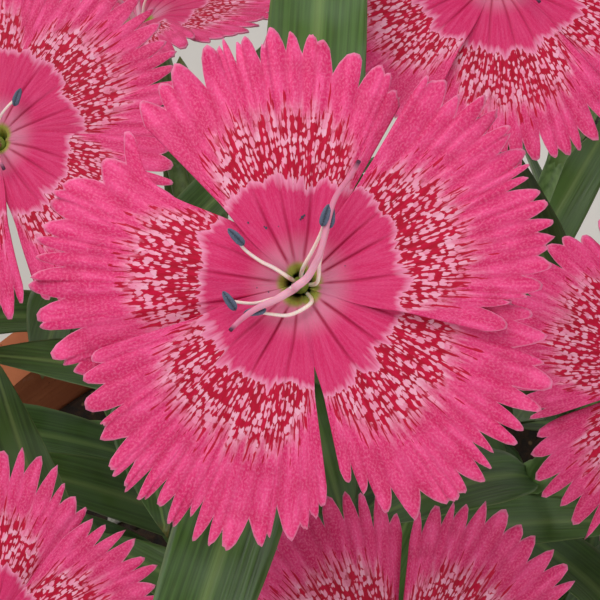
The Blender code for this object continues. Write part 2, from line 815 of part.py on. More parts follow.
def petal_height(radius, side, petal):
    """The height of a petal's upper face: it flares from the claw, then droops to its edge."""
    flare = LIMB_RISE * (1 - math.exp(-(radius - THROAT_RADIUS) / LIMB_LENGTH)) - LIMB_START
    droop = LIMB_DROOP * (radius / (petal.reach * BLOOM_REACH)) ** 2
    lift = petal.left if side > 0 else petal.right
    part = smoothstep(EDGE_LIFT_FROM, EDGE_LIFT_TO, radius)
    return flare - droop + lift * MM * part * abs(side) ** 1.5


def make_petal(petal, edge, rows, frame, into):
    """One petal: a fan that narrows to the throat, with few corners inside and many in its edge."""
    columns = len(edge) - 1
    shares, steps = rows
    bm = bmesh.new()
    bmesh.ops.create_grid(bm, x_segments=columns, y_segments=len(steps), size=0.5)

    def place(p):
        side, share = edge[round((p.x + 0.5) * columns)]
        row = round((p.y + 0.5) * len(steps))
        if row < len(steps):
            side = 2 * round((side + 1) / 2 * steps[row]) / steps[row] - 1
            share = shares[row - 1]
        radius = petal.reach * BLOOM_REACH * share * outline(side)
        if row == 0:
            radius = THROAT_RADIUS
        angle = side_angle(petal, side, radius / BLOOM_REACH)
        return frame @ (compass(angle) * radius + UP * petal_height(radius, side, petal))

    mould(bm, place)
    bmesh.ops.triangulate(bm, faces=bm.faces)
    grown = bmesh.ops.extrude_face_region(bm, geom=bm.faces[:], use_keep_orig=True)
    lower = [item for item in grown["geom"] if isinstance(item, bmesh.types.BMVert)]
    bmesh.ops.translate(bm, verts=lower, vec=frame.to_3x3() @ UP * -PETAL_THICK)
    return solid("petal", bm, "petal", into)


def petals_of(index):
    """The petals of a bloom."""
    if index == 0:
        return FRONT_PETALS
    draw = random.Random(500 + index)
    made = []
    for k in range(CLAWS):
        middle = 72 * k + draw.uniform(-3, 3)
        half = 36 + draw.uniform(-1.5, 1.5)
        reach = STEMS[index].size * draw.uniform(0.97, 1.03)
        made.append(Petal(middle - half, middle + half, reach, 0.6, -0.5, 0))
    return made


def make_petals(index, into):
    """The petals of one bloom, on the ring that their claws make."""
    frame = bloom_frame(index)
    low = -SOCKET_DEPTH + GAP
    profile = ((CLAW_INNER, low), (CLAW_INNER, -CLAW_TOP), (CLAW_OUTER, -CLAW_TOP), (CLAW_OUTER, low))
    name = f"petals_{index + 1:02d}"
    claws = remould(turned(name, profile, CLAWS, "petal", into, loop=True), lambda p: frame @ p)
    rows = FRONT_ROWS if index == 0 else OTHER_ROWS
    pieces = []
    for k, petal in enumerate(petals_of(index)):
        edge = fringe(1000 + 10 * index + k) if index else front_fringe(petal, FRONT_EDGES[k])
        pieces.append(make_petal(petal, edge, rows, frame, into))
    return fuse(claws, pieces)


def filament_line(tip, frame):
    """From inside the claws straight up through the throat, then over to the tip."""
    aside = Vector((tip[0], tip[1], 0)) * MM
    start = aside.normalized() * FILAMENT_OFFSET
    handles = (
        start - UP * FILAMENT_ROOT,
        start + UP * 0.8 * MM,
        start + UP * tip[2] * 1.3 * MM + aside * 0.3,
        aside + UP * tip[2] * MM,
    )
    return bezier([frame @ handle for handle in handles])


def tips_of(index):
    """The tips of a bloom's stamens, and of its two styles."""
    if index == 0:
        return FRONT_ANTHERS, FRONT_STYLES
    draw = random.Random(700 + index)
    tips = []
    for k in range(3):
        far = compass(120 * k + draw.uniform(-25, 25)) * draw.uniform(3.2, 5.2)
        tips.append((far.x, far.y, draw.uniform(2.2, 3.4)))
    return tips[:1], tips[1:]


def make_stamens(index, into):
    """The column inside the claws, with the stamens and the two styles that rise from it."""
    frame = bloom_frame(index)
    column = straight(frame @ (UP * (GAP - SOCKET_DEPTH)), frame @ (UP * -COLUMN_TOP))
    body = tube(column, 1, lambda share: COLUMN_RADIUS, 6)
    base = solid(f"stamens_{index + 1:02d}", body, "stamen", into)
    anthers, styles = tips_of(index)
    sides, rings = (4, 4) if index == 0 else (3, 3)
    pieces = []
    for tip in (*anthers, *styles):
        thin = tube(filament_line(tip, frame), rings, lambda share: FILAMENT_RADIUS, sides)
        pieces.append(solid("filament", thin, "stamen", into))
    for tip in anthers if index == 0 else ():
        point, heading = filament_line(tip, frame)
        reach = heading(1) * ANTHER_LENGTH
        line = straight(point(1) - reach * 0.3, point(1) + reach * 0.7)
        sac = tube(line, 2, lambda share: ANTHER_RADIUS * (1.3 - abs(share - 0.5)), 4)
        pieces.append(solid("anther", sac, "stamen", into))
    return fuse(base, pieces)


def main():
    clear_scene()
    plant = new_collection("dianthus")
    make_pot(plant)
    make_soil(plant)
    leaves = grow_leaves()
    for index in range(len(STEMS)):
        make_leafy_stem(index, leaves[index], plant)
        make_petals(index, plant)
        make_stamens(index, plant)


main()
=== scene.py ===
# %% [markdown]
# # A bedding dianthus in its clay pot
# One bloom stands over eleven others and faces the camera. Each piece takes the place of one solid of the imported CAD
# model, so the first step loads that model and keeps its box.

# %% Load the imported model
import math
import random
from collections import namedtuple

import bmesh
import bpy
from mathutils import Euler, Matrix, Vector, noise


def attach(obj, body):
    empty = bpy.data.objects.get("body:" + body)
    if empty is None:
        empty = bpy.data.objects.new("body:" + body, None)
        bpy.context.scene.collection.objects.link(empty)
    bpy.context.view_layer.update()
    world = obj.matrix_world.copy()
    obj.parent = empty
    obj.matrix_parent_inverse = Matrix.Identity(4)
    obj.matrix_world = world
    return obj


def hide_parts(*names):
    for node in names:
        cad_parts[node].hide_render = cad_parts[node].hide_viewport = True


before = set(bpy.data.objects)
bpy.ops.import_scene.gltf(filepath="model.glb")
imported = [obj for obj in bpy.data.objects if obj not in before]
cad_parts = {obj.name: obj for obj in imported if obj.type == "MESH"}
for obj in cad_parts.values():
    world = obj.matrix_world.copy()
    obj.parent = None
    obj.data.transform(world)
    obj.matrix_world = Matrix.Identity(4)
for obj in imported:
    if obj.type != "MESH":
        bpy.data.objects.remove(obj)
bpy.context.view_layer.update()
print("CAD nodes:", len(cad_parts))

# %% [markdown]
# ## Measures
# A plant is measured in millimetres and Blender works in metres, so one constant turns one into the other. Sides are
# degrees round the pot, anticlockwise from +X, with the viewer at 270. Two curves say how one thing fades to another.

# %% Units and fades
MM = 0.001
UP = Vector((0, 0, 1))


def compass(degrees):
    """A level unit vector towards a side."""
    return Vector((math.cos(math.radians(degrees)), math.sin(math.radians(degrees)), 0))


def smoothstep(low, high, value):
    """0 up to low, 1 from high on, and a soft S between."""
    share = min(1.0, max(0.0, (value - low) / (high - low)))
    return share * share * (3 - 2 * share)


def bell(distance, width):
    """1 at no distance, and fading to 0 past the width."""
    return math.exp(-((distance / width) ** 2))


print("the viewer stands towards:", *(round(part) for part in compass(270)))

# %% [markdown]
# ## Shapes from simple ones
# Almost every part of a plant is a bent sheet or tube. So an operator makes a grid, a prism or a ball of unit size,
# and a small function that knows the real form moves each corner to its place. It also leaves marks on the corners,
# which the materials read to find out where they are.

# %% The mould
MARKS = ("grain", "look")


def new_shape():
    """An empty bmesh whose corners can carry the marks."""
    bm = bmesh.new()
    for mark in MARKS:
        bm.verts.layers.float_vector.new(mark)
    return bm


def mould(bm, first, place, surface):
    """Moves the corners from the first on to where place says, with their marks, and sets their faces' material."""
    bm.verts.ensure_lookup_table()
    layers = [bm.verts.layers.float_vector[mark] for mark in MARKS]
    faces = set()
    for vert in bm.verts[first:]:
        vert.co, *marks = place(vert.co.copy())
        for layer, mark in zip(layers, marks):
            vert[layer] = mark
        faces.update(vert.link_faces)
    for face in faces:
        face.material_index = surface
        face.smooth = True


print("marks:", *MARKS)

# %% [markdown]
# Each operator makes its shape at unit size in the mesh under way, and hands the new corners to `mould`.

# %% Grids, prisms and balls
def sheet(bm, columns, rows, place, surface=0):
    """Adds a grid that runs from 0 to 1 both ways, and bends it."""
    first = len(bm.verts)
    corner = Matrix.Translation((0.5, 0.5, 0))
    bmesh.ops.create_grid(bm, x_segments=columns, y_segments=rows, size=0.5, matrix=corner)
    mould(bm, first, place, surface)


def prism(bm, sides, rings, place, surface=0):
    """Adds a closed prism of radius 1 whose height runs from 0 to 1 in that many steps, and bends it."""
    first = len(bm.verts)
    stand = Matrix.Translation(UP / 2)
    made = bmesh.ops.create_cone(bm, cap_ends=True, segments=sides, radius1=1, radius2=1, depth=1, matrix=stand)
    edges = dict.fromkeys(edge for vert in made["verts"] for edge in vert.link_edges)
    uprights = [edge for edge in edges if abs(edge.verts[0].co.z - edge.verts[1].co.z) > 0.5]
    bmesh.ops.subdivide_edges(bm, edges=uprights, cuts=rings - 1)
    mould(bm, first, place, surface)


def ball(bm, place, surface=0):
    """Adds a small ball of radius 1, and bends it."""
    first = len(bm.verts)
    bmesh.ops.create_icosphere(bm, subdivisions=2, radius=1)
    mould(bm, first, place, surface)


trial = new_shape()
ball(trial, lambda p: [p])
print("corners of a ball:", len(trial.verts))
trial.free()

# %% [markdown]
# A finished shape becomes an object at the origin, with its place in its mesh, so that patterns on Object coordinates
# stay put. It rides on the CAD body and stands for the CAD node that it covers.

# %% From shape to piece
WELD = 0.001 * MM


def to_object(name, bm, surfaces=()):
    """Turns a shape into an object of the scene."""
    mesh = bpy.data.meshes.new(name)
    bm.to_mesh(mesh)
    bm.free()
    for surface in surfaces:
        mesh.materials.append(surface)
    made = bpy.data.objects.new(name, mesh)
    bpy.context.scene.collection.objects.link(made)
    return made


def piece(name, bm, surfaces, node):
    """Turns a shape into a piece that stands for a CAD node."""
    bmesh.ops.remove_doubles(bm, verts=bm.verts, dist=WELD)
    made = to_object(name, bm, surfaces)
    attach(made, "root")
    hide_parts(node)
    return made


print("corners nearer than", WELD, "m are joined")

# %% [markdown]
# ## Colour and nodes
# Colours are picked as sRGB hex values, as on a screen, and the shader wants linear light, so one function turns
# them. One more adds a node. Values fill its inputs in order, a name with a capital is an input too, and any other
# name is a setting. So a MapRange reads: value, its low and high, and what these become.

# %% Colours and nodes
RGBA = {"data_type": "RGBA"}
FLAT = {"noise_dimensions": "2D"}
SMOOTH = {"interpolation_type": "SMOOTHSTEP"}
PLUS = {"operation": "ADD"}
TIMES = {"operation": "MULTIPLY"}
TIMES_PLUS = {"operation": "MULTIPLY_ADD"}


def tint(code):
    """The linear colour of an sRGB hex code."""
    parts = [int(code[k : k + 2], 16) / 255 for k in (1, 3, 5)]
    linear = [c / 12.92 if c <= 0.04045 else ((c + 0.055) / 1.055) ** 2.4 for c in parts]
    return (*linear, 1)


def plug(tree, made, inputs):
    """Sets a node's inputs, by number or by name, to numbers and colours, or links them to other nodes."""
    for key, value in inputs.items():
        named = [socket for socket in made.inputs if socket.enabled and socket.name == key]
        socket = named[0] if named else made.inputs[key]
        if isinstance(value, bpy.types.Node):
            value = next(output for output in value.outputs if output.enabled)
        if isinstance(value, bpy.types.NodeSocket):
            tree.links.new(value, socket)
        else:
            socket.default_value = tint(value) if isinstance(value, str) else value


def node(tree, kind, *values, **named):
    """Adds a node with its settings and its inputs."""
    made = tree.nodes.new("ShaderNode" + kind)
    inputs = dict(enumerate(values))
    for name, value in named.items():
        if name[0].isupper():
            inputs[name.replace("_", " ")] = value
        else:
            setattr(made, name, value)
    plug(tree, made, inputs)
    return made


print("mid grey on a screen, as light:", round(tint("#808080")[0], 3))

# %% [markdown]
# Every skin starts from a Principled shader with its own constants, and ends with a colour, a roughness that varies
# with its pattern, and a relief. No real surface is equally rough all over, and that is what catches the eye.

# %% How a skin starts and ends
def new_material(name, *marks, **constants):
    """A material, with its tree, its shader and what its corners' marks hold. The constants set the shader."""
    made = bpy.data.materials.new(name)
    made.use_nodes = True
    tree = made.node_tree
    shader = tree.nodes["Principled BSDF"]
    plug(tree, shader, {socket.replace("_", " "): value for socket, value in constants.items()})
    held = [node(tree, "Attribute", attribute_name=mark).outputs["Vector"] for mark in marks]
    print("material:", name)
    return made, tree, shader, *held


def finish_skin(tree, shader, colour, pattern, rough, deep, strength, height=None, span=(0.35, 0.65)):
    """Links the colour, a roughness between two values over the pattern's span, and a relief that deep."""
    rough = node(tree, "MapRange", pattern, *span, *rough)
    bump = node(tree, "Bump", Height=height or pattern, Distance=deep, Strength=strength)
    plug(tree, shader, {"Base Color": colour, "Roughness": rough, "Normal": bump})


# %% [markdown]
# ## The petal's skin
# A dianthus petal is velvet, a turf of tiny cone-shaped cells. Its zones follow the distance from the throat: a
# green throat, a pink eye with dark folds, a crimson ring with pale spots, crimson dashes on a pale ground, then pink
# to the fringe. A painted image would blur close up, so nodes draw it from where a corner lies on its own petal. The
# `grain` mark holds mm round the bloom, mm from the throat, and the share of the way to the edge. The `look` mark
# holds the side from -1 to 1, how deep a fold is, and how near a tooth's crest.

# %% Start the velvet
# Gives the eye a soft matt surface that pales where it turns away, and glows a little where light comes through
velvet, tree, shader, grain, look = new_material(
    "dianthus petal, velvet skin",
    *MARKS,
    Roughness=0.6,
    Sheen_Weight=0.06,
    Sheen_Roughness=0.4,
    Sheen_Tint="#ffc4d8",
    Subsurface_Weight=0.1,
    Subsurface_Scale=MM,
    Subsurface_Radius=(1.0, 0.2, 0.35),
    Specular_IOR_Level=0.2,
)
_, far_mm, reached = node(tree, "SeparateXYZ", grain).outputs
side, fold, crest = node(tree, "SeparateXYZ", look).outputs

# %% [markdown]
# Fine light streaks run along the petal. The eye ends in a ragged, scalloped rim: noise shifts the distance at which
# the ring starts, broadly for the scallops and finely for the teeth.

# %% Streaks and the rim of the eye
# A streak is 0.42 mm wide and 3.4 mm long, and a tooth of the rim half a millimetre wide
EYE_RADIUS = 8.1
STREAK = (1 / 0.42, 1 / 3.4, 0)
TOOTH = (2.1, 0.3, 0)

streak_at = node(tree, "VectorMath", grain, STREAK, **TIMES)
streak = node(tree, "TexNoise", Vector=streak_at, Scale=1, Detail=3, **FLAT)
lit = node(tree, "MapRange", streak, 0.35, 0.7)
scallop = node(tree, "TexNoise", Vector=grain, Scale=0.32, Detail=1, **FLAT)
tooth_at = node(tree, "VectorMath", grain, TOOTH, **TIMES)
tooth = node(tree, "TexNoise", Vector=tooth_at, Scale=1, Detail=2, **FLAT)
shift = node(tree, "Math", scallop, 2.4, -1.95, **TIMES_PLUS)
shift = node(tree, "Math", tooth, 1.5, shift, **TIMES_PLUS)
ring_mm = node(tree, "Math", far_mm, shift, **PLUS)
ringed = node(tree, "MapRange", ring_mm, EYE_RADIUS, EYE_RADIUS + 0.1, **SMOOTH)
rim = node(tree, "MapRange", ring_mm, EYE_RADIUS - 0.7, EYE_RADIUS - 0.05, 0, 0.7)
print("streaks are", 1 / STREAK[0], "mm wide")

# %% [markdown]
# The crimson thins out with distance, and sooner towards a petal's sides, so its edge is bowed on every petal.

# %% How dense the crimson is
flank = node(tree, "Math", side, side, **TIMES)
flank = node(tree, "Math", flank, flank, **TIMES)
out_mm = node(tree, "Math", flank, 5.5, far_mm, **TIMES_PLUS)
sway = node(tree, "Math", streak, -4.6, 2.3, **TIMES_PLUS)
out_mm = node(tree, "Math", out_mm, sway, **PLUS)
dense = node(tree, "MapRange", out_mm, 8.4, 15.0, 1, 0)
print("nodes down to the crimson:", len(tree.nodes))

# %% [markdown]
# Where the crimson is dense it is a net round pale spots, one in each cell of a Voronoi pattern. The denser it is, the
# smaller the spots, and veins pinch them.

# %% The net round the pale spots
# A spot's cell is 0.40 mm wide and 0.72 mm long, and a vein 0.17 mm and 2.2 mm
SPOT = (1 / 0.40, 1 / 0.72, 0)
VEIN = (1 / 0.17, 1 / 2.2, 0)

cell_at = node(tree, "VectorMath", grain, SPOT, **TIMES)
warp = node(tree, "TexNoise", Vector=cell_at, Scale=0.8, Detail=1, **FLAT).outputs["Color"]
cell_at = node(tree, "VectorMath", warp, (0.7, 0.7, 0), cell_at, **TIMES_PLUS)
cell = node(tree, "TexVoronoi", Vector=cell_at, Scale=1, Randomness=0.8, voronoi_dimensions="2D")
chance = node(tree, "SeparateColor", cell.outputs["Color"])
spot_size = node(tree, "MapRange", dense, 0, 1, 0.52, 0.20)
spot_size = node(tree, "Math", chance, 0.18, spot_size, **TIMES_PLUS)
vein_at = node(tree, "VectorMath", grain, VEIN, **TIMES)
vein = node(tree, "TexNoise", Vector=vein_at, Scale=1, Detail=1.5, **FLAT)
pinch = node(tree, "Math", vein, -1.1, 0.55, **TIMES_PLUS)
inside = node(tree, "Math", spot_size, cell.outputs["Distance"], operation="SUBTRACT")
inside = node(tree, "Math", inside, pinch, **PLUS)
net = node(tree, "MapRange", inside, 0, 0.12, 1, 0, **SMOOTH)
print("a spot is about", 1 / SPOT[0], "x", round(1 / SPOT[1], 2), "mm")

# %% [markdown]
# Where the crimson thins, only the strongest veins keep it, so it breaks into dashes. The net fades into them.

# %% The dashes beyond the net
least = node(tree, "MapRange", dense, 0, 0.5, 0.70, 0.44)
dash = node(tree, "Math", vein, least, operation="SUBTRACT")
dash = node(tree, "MapRange", dash, -0.01, 0.03, **SMOOTH)
netted = node(tree, "MapRange", dense, 0.20, 0.44, **SMOOTH)
inked = node(tree, "Mix", Factor=netted, A=dash, B=net, data_type="FLOAT")
for limit in (node(tree, "MapRange", dense, 0, 0.05), ringed):
    inked = node(tree, "Math", inked, limit, **TIMES)
print("a dash is about", 1 / VEIN[1], "mm long")

# %% [markdown]
# The ground lies under the crimson. The eye is palest at the throat and at its rim. A zone starts from one colour, and
# a loop lays the next ones over it, from the lowest to the top one.

# %% The eye
# The real turf is about 0.03 mm wide. It is drawn three times as coarse, so that it shows.
TURF = (1 / 0.1, 1 / 0.22, 0)

turf_at = node(tree, "VectorMath", grain, TURF, **TIMES)
turf = node(tree, "TexNoise", Vector=turf_at, Scale=1, Detail=2, Roughness=0.6, **FLAT)
# The turf's pale flecks are partly its own paler cells and partly painted sparkle, glints of light off the cells
mottle_and_sparkle = node(tree, "MapRange", turf, 0.42, 0.72, 0, 0.34)
from_throat = node(tree, "MapRange", far_mm, 1.9, 4.6, **SMOOTH)
eye = node(tree, "Mix", Factor=from_throat, A="#d9849f", B="#d01c60", **RGBA)
eye_lit = node(tree, "Math", lit, 0.3, **TIMES)
eye_mottle_and_sparkle = node(tree, "Math", mottle_and_sparkle, 0.4, **TIMES)
for share, colour in ((eye_lit, "#ea6096"), (rim, "#f0a0c2"), (eye_mottle_and_sparkle, "#f08fb6")):
    eye = node(tree, "Mix", Factor=share, A=eye, B=colour, **RGBA)
print("the eye is", 2 * EYE_RADIUS, "mm across")

# %% [markdown]
# Outside the ring the pink is mottled by the turf, with painted sparkle in its pale flecks. Broad soft patches of
# painted shade lie over it, and painted shade darkens the grooves between the teeth. It is palest in the spots of the
# net, and pale again along the very edge.

# %% The pink outside the ring
outer = node(tree, "Mix", Factor=lit, A="#d62468", B="#ef4d8c", **RGBA)
# Painted shade: broad soft darker patches stand for the shade of the petal's large waves
shade = node(tree, "MapRange", scallop, 0.48, 0.68, 0, 0.5, **SMOOTH)
# Painted shade darkens the grooves between the teeth, more towards the edge
groove_shade = node(tree, "MapRange", crest, 0, 0.75, 1, 0, **SMOOTH)
outward = node(tree, "MapRange", far_mm, 10, 16, 0, 0.3)
groove_shade = node(tree, "Math", groove_shade, outward, **TIMES)
pale = node(tree, "MapRange", dense, 0.08, 0.5, 0, 0.9, **SMOOTH)
bright = node(tree, "Math", chance.outputs["Green"], 0.5, 0.5, **TIMES_PLUS)
pale = node(tree, "Math", pale, bright, **TIMES)
margin = node(tree, "MapRange", reached, 0.984, 1.0, 0, 0.5)
layers = ((shade, "#c41c58"), (mottle_and_sparkle, "#f892ba"), (groove_shade, "#b4164f"), (pale, "#f0b2c9"), (margin, "#f2a8c6"))
for share, colour in layers:
    outer = node(tree, "Mix", Factor=share, A=outer, B=colour, **RGBA)
print("layers over the outer pink:", len(layers))

# %% [markdown]
# From below lie the eye, the outer pink, the crimson, the shade deep in the folds, and the green throat, which painted
# shade darkens deeper down.

# %% All the zones together, and the turf's relief
green = node(tree, "MapRange", far_mm, 2.0, 1.45, **SMOOTH)
# Painted shade: the claws darken deeper down the throat, where the narrow throat shades them
deep = node(tree, "MapRange", far_mm, 1.3, -2.5)
throat = node(tree, "Mix", Factor=deep, A="#a3aa48", B="#5f7420", **RGBA)
crimson = node(tree, "Mix", Factor=lit, A="#a80028", B="#c4053a", **RGBA)
zones = eye
for share, colour in ((ringed, outer), (inked, crimson), (fold, "#a3043f"), (green, throat)):
    zones = node(tree, "Mix", Factor=share, A=zones, B=colour, **RGBA)
height = node(tree, "Math", turf, 0.7, streak, **TIMES_PLUS)
finish_skin(tree, shader, zones, turf, (0.52, 0.72), 0.07 * MM, 0.6, height=height)
print("petal nodes:", len(tree.nodes))

# %% [markdown]
# The underside of a petal has no turf, so it is smoother and paler, with its veins showing. It gets a material of
# its own, which the thickness of the petal brings in later.

# %% The petal's underside
# Gives the eye a pale, satiny back with soft pink veins
petal_back, tree, shader, grain = new_material("dianthus petal, underside", "grain", Roughness=0.7)
vein_at = node(tree, "VectorMath", grain, (2.6, 0.16, 0), **TIMES)
vein = node(tree, "TexNoise", Vector=vein_at, Scale=1, Detail=3, **FLAT)
shade = node(tree, "MapRange", vein, 0.35, 0.65)
pink = node(tree, "Mix", Factor=shade, A="#e3a2b7", B="#cf5f88", **RGBA)
finish_skin(tree, shader, pink, vein, (0.78, 0.62), 0.08 * MM, 0.5)

# %% [markdown]
# ## The twelve stems
# The table says where each bloom's throat is over the pot's rim, how far and which way it tilts, its size, how its
# lowest pair of leaves is turned, and how many pairs it has. Side branches carry buds, and side shoots leave a stem
# near the soil and lean over the rim.

# %% The plant's plan
Stem = namedtuple("Stem", "x y over tilt side size turn pairs")
STEMS = (
    Stem(0, -12, 138, 25, 270, 1.00, 0, 7),
    Stem(-28, 17, 108, 15, 225, 0.97, 20, 6),
    Stem(18, 32, 112, 13, 300, 0.98, 50, 6),
    Stem(35, -3, 101, 20, 310, 0.95, 35, 6),
    Stem(8, -32, 95, 30, 280, 0.98, 60, 6),
    Stem(-29, -26, 89, 28, 230, 0.96, 10, 6),
    Stem(-64, -6, 67, 48, 185, 0.93, 40, 5),
    Stem(-30, -62, 55, 50, 244, 0.95, 20, 5),
    Stem(38, -58, 58, 50, 303, 0.94, 70, 5),
    Stem(68, 12, 65, 46, 10, 0.96, 30, 5),
    Stem(34, 53, 68, 42, 64, 0.93, 55, 5),
    Stem(-18, 55, 66, 44, 108, 0.95, 15, 5),
)
Branch = namedtuple("Branch", "stem share side length")
BUDS = (
    Branch(1, 0.62, 100, 24),
    Branch(3, 0.60, 30, 24),
    Branch(5, 0.62, 180, 24),
    Branch(6, 0.62, 250, 22),
    Branch(8, 0.60, 250, 22),
    Branch(10, 0.62, 110, 22),
)
SHOOT_START = 0.07
SHOOT_SIDES = ((6, 155), (7, 215), (8, 270), (9, 335), (10, 35), (11, 95), (3, 5), (5, 190))
SHOOTS = [Branch(stem, SHOOT_START, side, 46 if stem > 5 else 40) for stem, side in SHOOT_SIDES]
print("stems:", len(STEMS), "buds:", len(BUDS), "side shoots:", len(SHOOTS))

# %% [markdown]
# The stems stand in a round pot whose soil is a low mound with lumps. Their sizes come early, because the leaves have
# to clear both.

# %% Pot and soil, in numbers
POT_HEIGHT = 96 * MM
POT_FOOT_RADIUS = 39 * MM
POT_NECK_RADIUS = 54 * MM
POT_RIM_RADIUS = 60 * MM
POT_RIM_HEIGHT = 22 * MM
POT_WALL = 4.5 * MM
POT_FLOOR = 6 * MM
SOIL_TOP = POT_HEIGHT - 11 * MM
SOIL_MOUND = 3 * MM
SOIL_LUMP = 1.2 * MM
SOIL_LUMP_LENGTH = 11 * MM


def inner_radius(height):
    """The inside radius of the pot at a height."""
    share = height / (POT_HEIGHT - POT_RIM_HEIGHT)
    return POT_FOOT_RADIUS + (POT_NECK_RADIUS - POT_FOOT_RADIUS) * share - POT_WALL


def soil_height(x, y):
    """The soil's surface."""
    mound = SOIL_MOUND * (1 - (math.hypot(x, y) / POT_NECK_RADIUS) ** 2)
    lumps = SOIL_LUMP * noise.noise(Vector((x, y, 0)) / SOIL_LUMP_LENGTH)
    return SOIL_TOP + mound + lumps


print("soil in the middle:", round(soil_height(0, 0) / MM, 1), "mm up")

# %% [markdown]
# A bloom's place is a matrix: its throat is the origin and its axis is +Z. A stem runs from the soil to the foot of
# its calyx on a cubic curve. A curve is a pair of functions, its point and its direction at a share of the way.

# %% Where blooms and stems stand
CALYX_LENGTH = 17.5 * MM
BLOOM_SPIN = 31
FOOT_SHARE = 0.42


def bloom_frame(index):
    """The place of a bloom: lifted to its throat, and tilted towards its side after a spin about its axis."""
    stem = STEMS[index]
    swing = math.radians(stem.side + 90)
    return (
        Matrix.Translation((stem.x * MM, stem.y * MM, POT_HEIGHT + stem.over * MM))
        @ Matrix.Rotation(swing, 4, "Z")
        @ Matrix.Rotation(math.radians(stem.tilt), 4, "X")
        @ Matrix.Rotation(math.radians(BLOOM_SPIN * index) - swing, 4, "Z")
    )


def bezier(handles):
    """The curve through four handles."""
    a, b, c, d = handles

    def point(t):
        s = 1 - t
        return a * s**3 + b * 3 * s * s * t + c * 3 * s * t * t + d * t**3

    def heading(t):
        s = 1 - t
        return ((b - a) * s * s + (c - b) * 2 * s * t + (d - c) * t * t).normalized()

    return point, heading


def straight(start, end):
    """A straight line, as a curve."""
    return bezier([start.lerp(end, k / 3) for k in range(4)])


def foot(index):
    """Where a stem leaves the soil."""
    x = STEMS[index].x * MM * FOOT_SHARE
    y = STEMS[index].y * MM * FOOT_SHARE
    return Vector((x, y, soil_height(x, y)))


def stem_line(index):
    """The stem's middle line, from the soil to the foot of the calyx."""
    place = bloom_frame(index)
    low = foot(index)
    high = place @ (UP * (MM - CALYX_LENGTH))
    axis = (place.to_3x3() @ UP).normalized()
    span = (high - low).length
    outward = Vector((high.x - low.x, high.y - low.y, 0)) * 0.25
    return bezier((low, low + UP * 0.35 * span + outward, high - axis * 0.3 * span, high))


print("front throat:", *(round(part, 4) for part in bloom_frame(0).translation))

# %% [markdown]
# ## Petals
# A petal is a fan whose edge is cut into teeth, rounded fingers with a steep notch on either side. It could be cut
# from a disc, but then no row of faces would follow a tooth, so the edge itself is the start. The front bloom follows
# the photo: one table gives its petals, with mm of lift at either side, and the next their edges.

# %% The front bloom's petals
Petal = namedtuple("Petal", "first last reach left right waist")
FRONT_PETALS = (
    Petal(60.8, 134.5, 0.97, 0.5, -0.5, 0),
    Petal(136.2, 204.0, 1.02, -0.6, -0.5, 9),
    Petal(197.6, 277.6, 1.04, 0.1, 0.7, 0),
    Petal(282.1, 356.5, 1.03, -0.6, 0.1, 0),
    Petal(-14.2, 59.8, 1.00, 0.7, 0.8, 0),
)
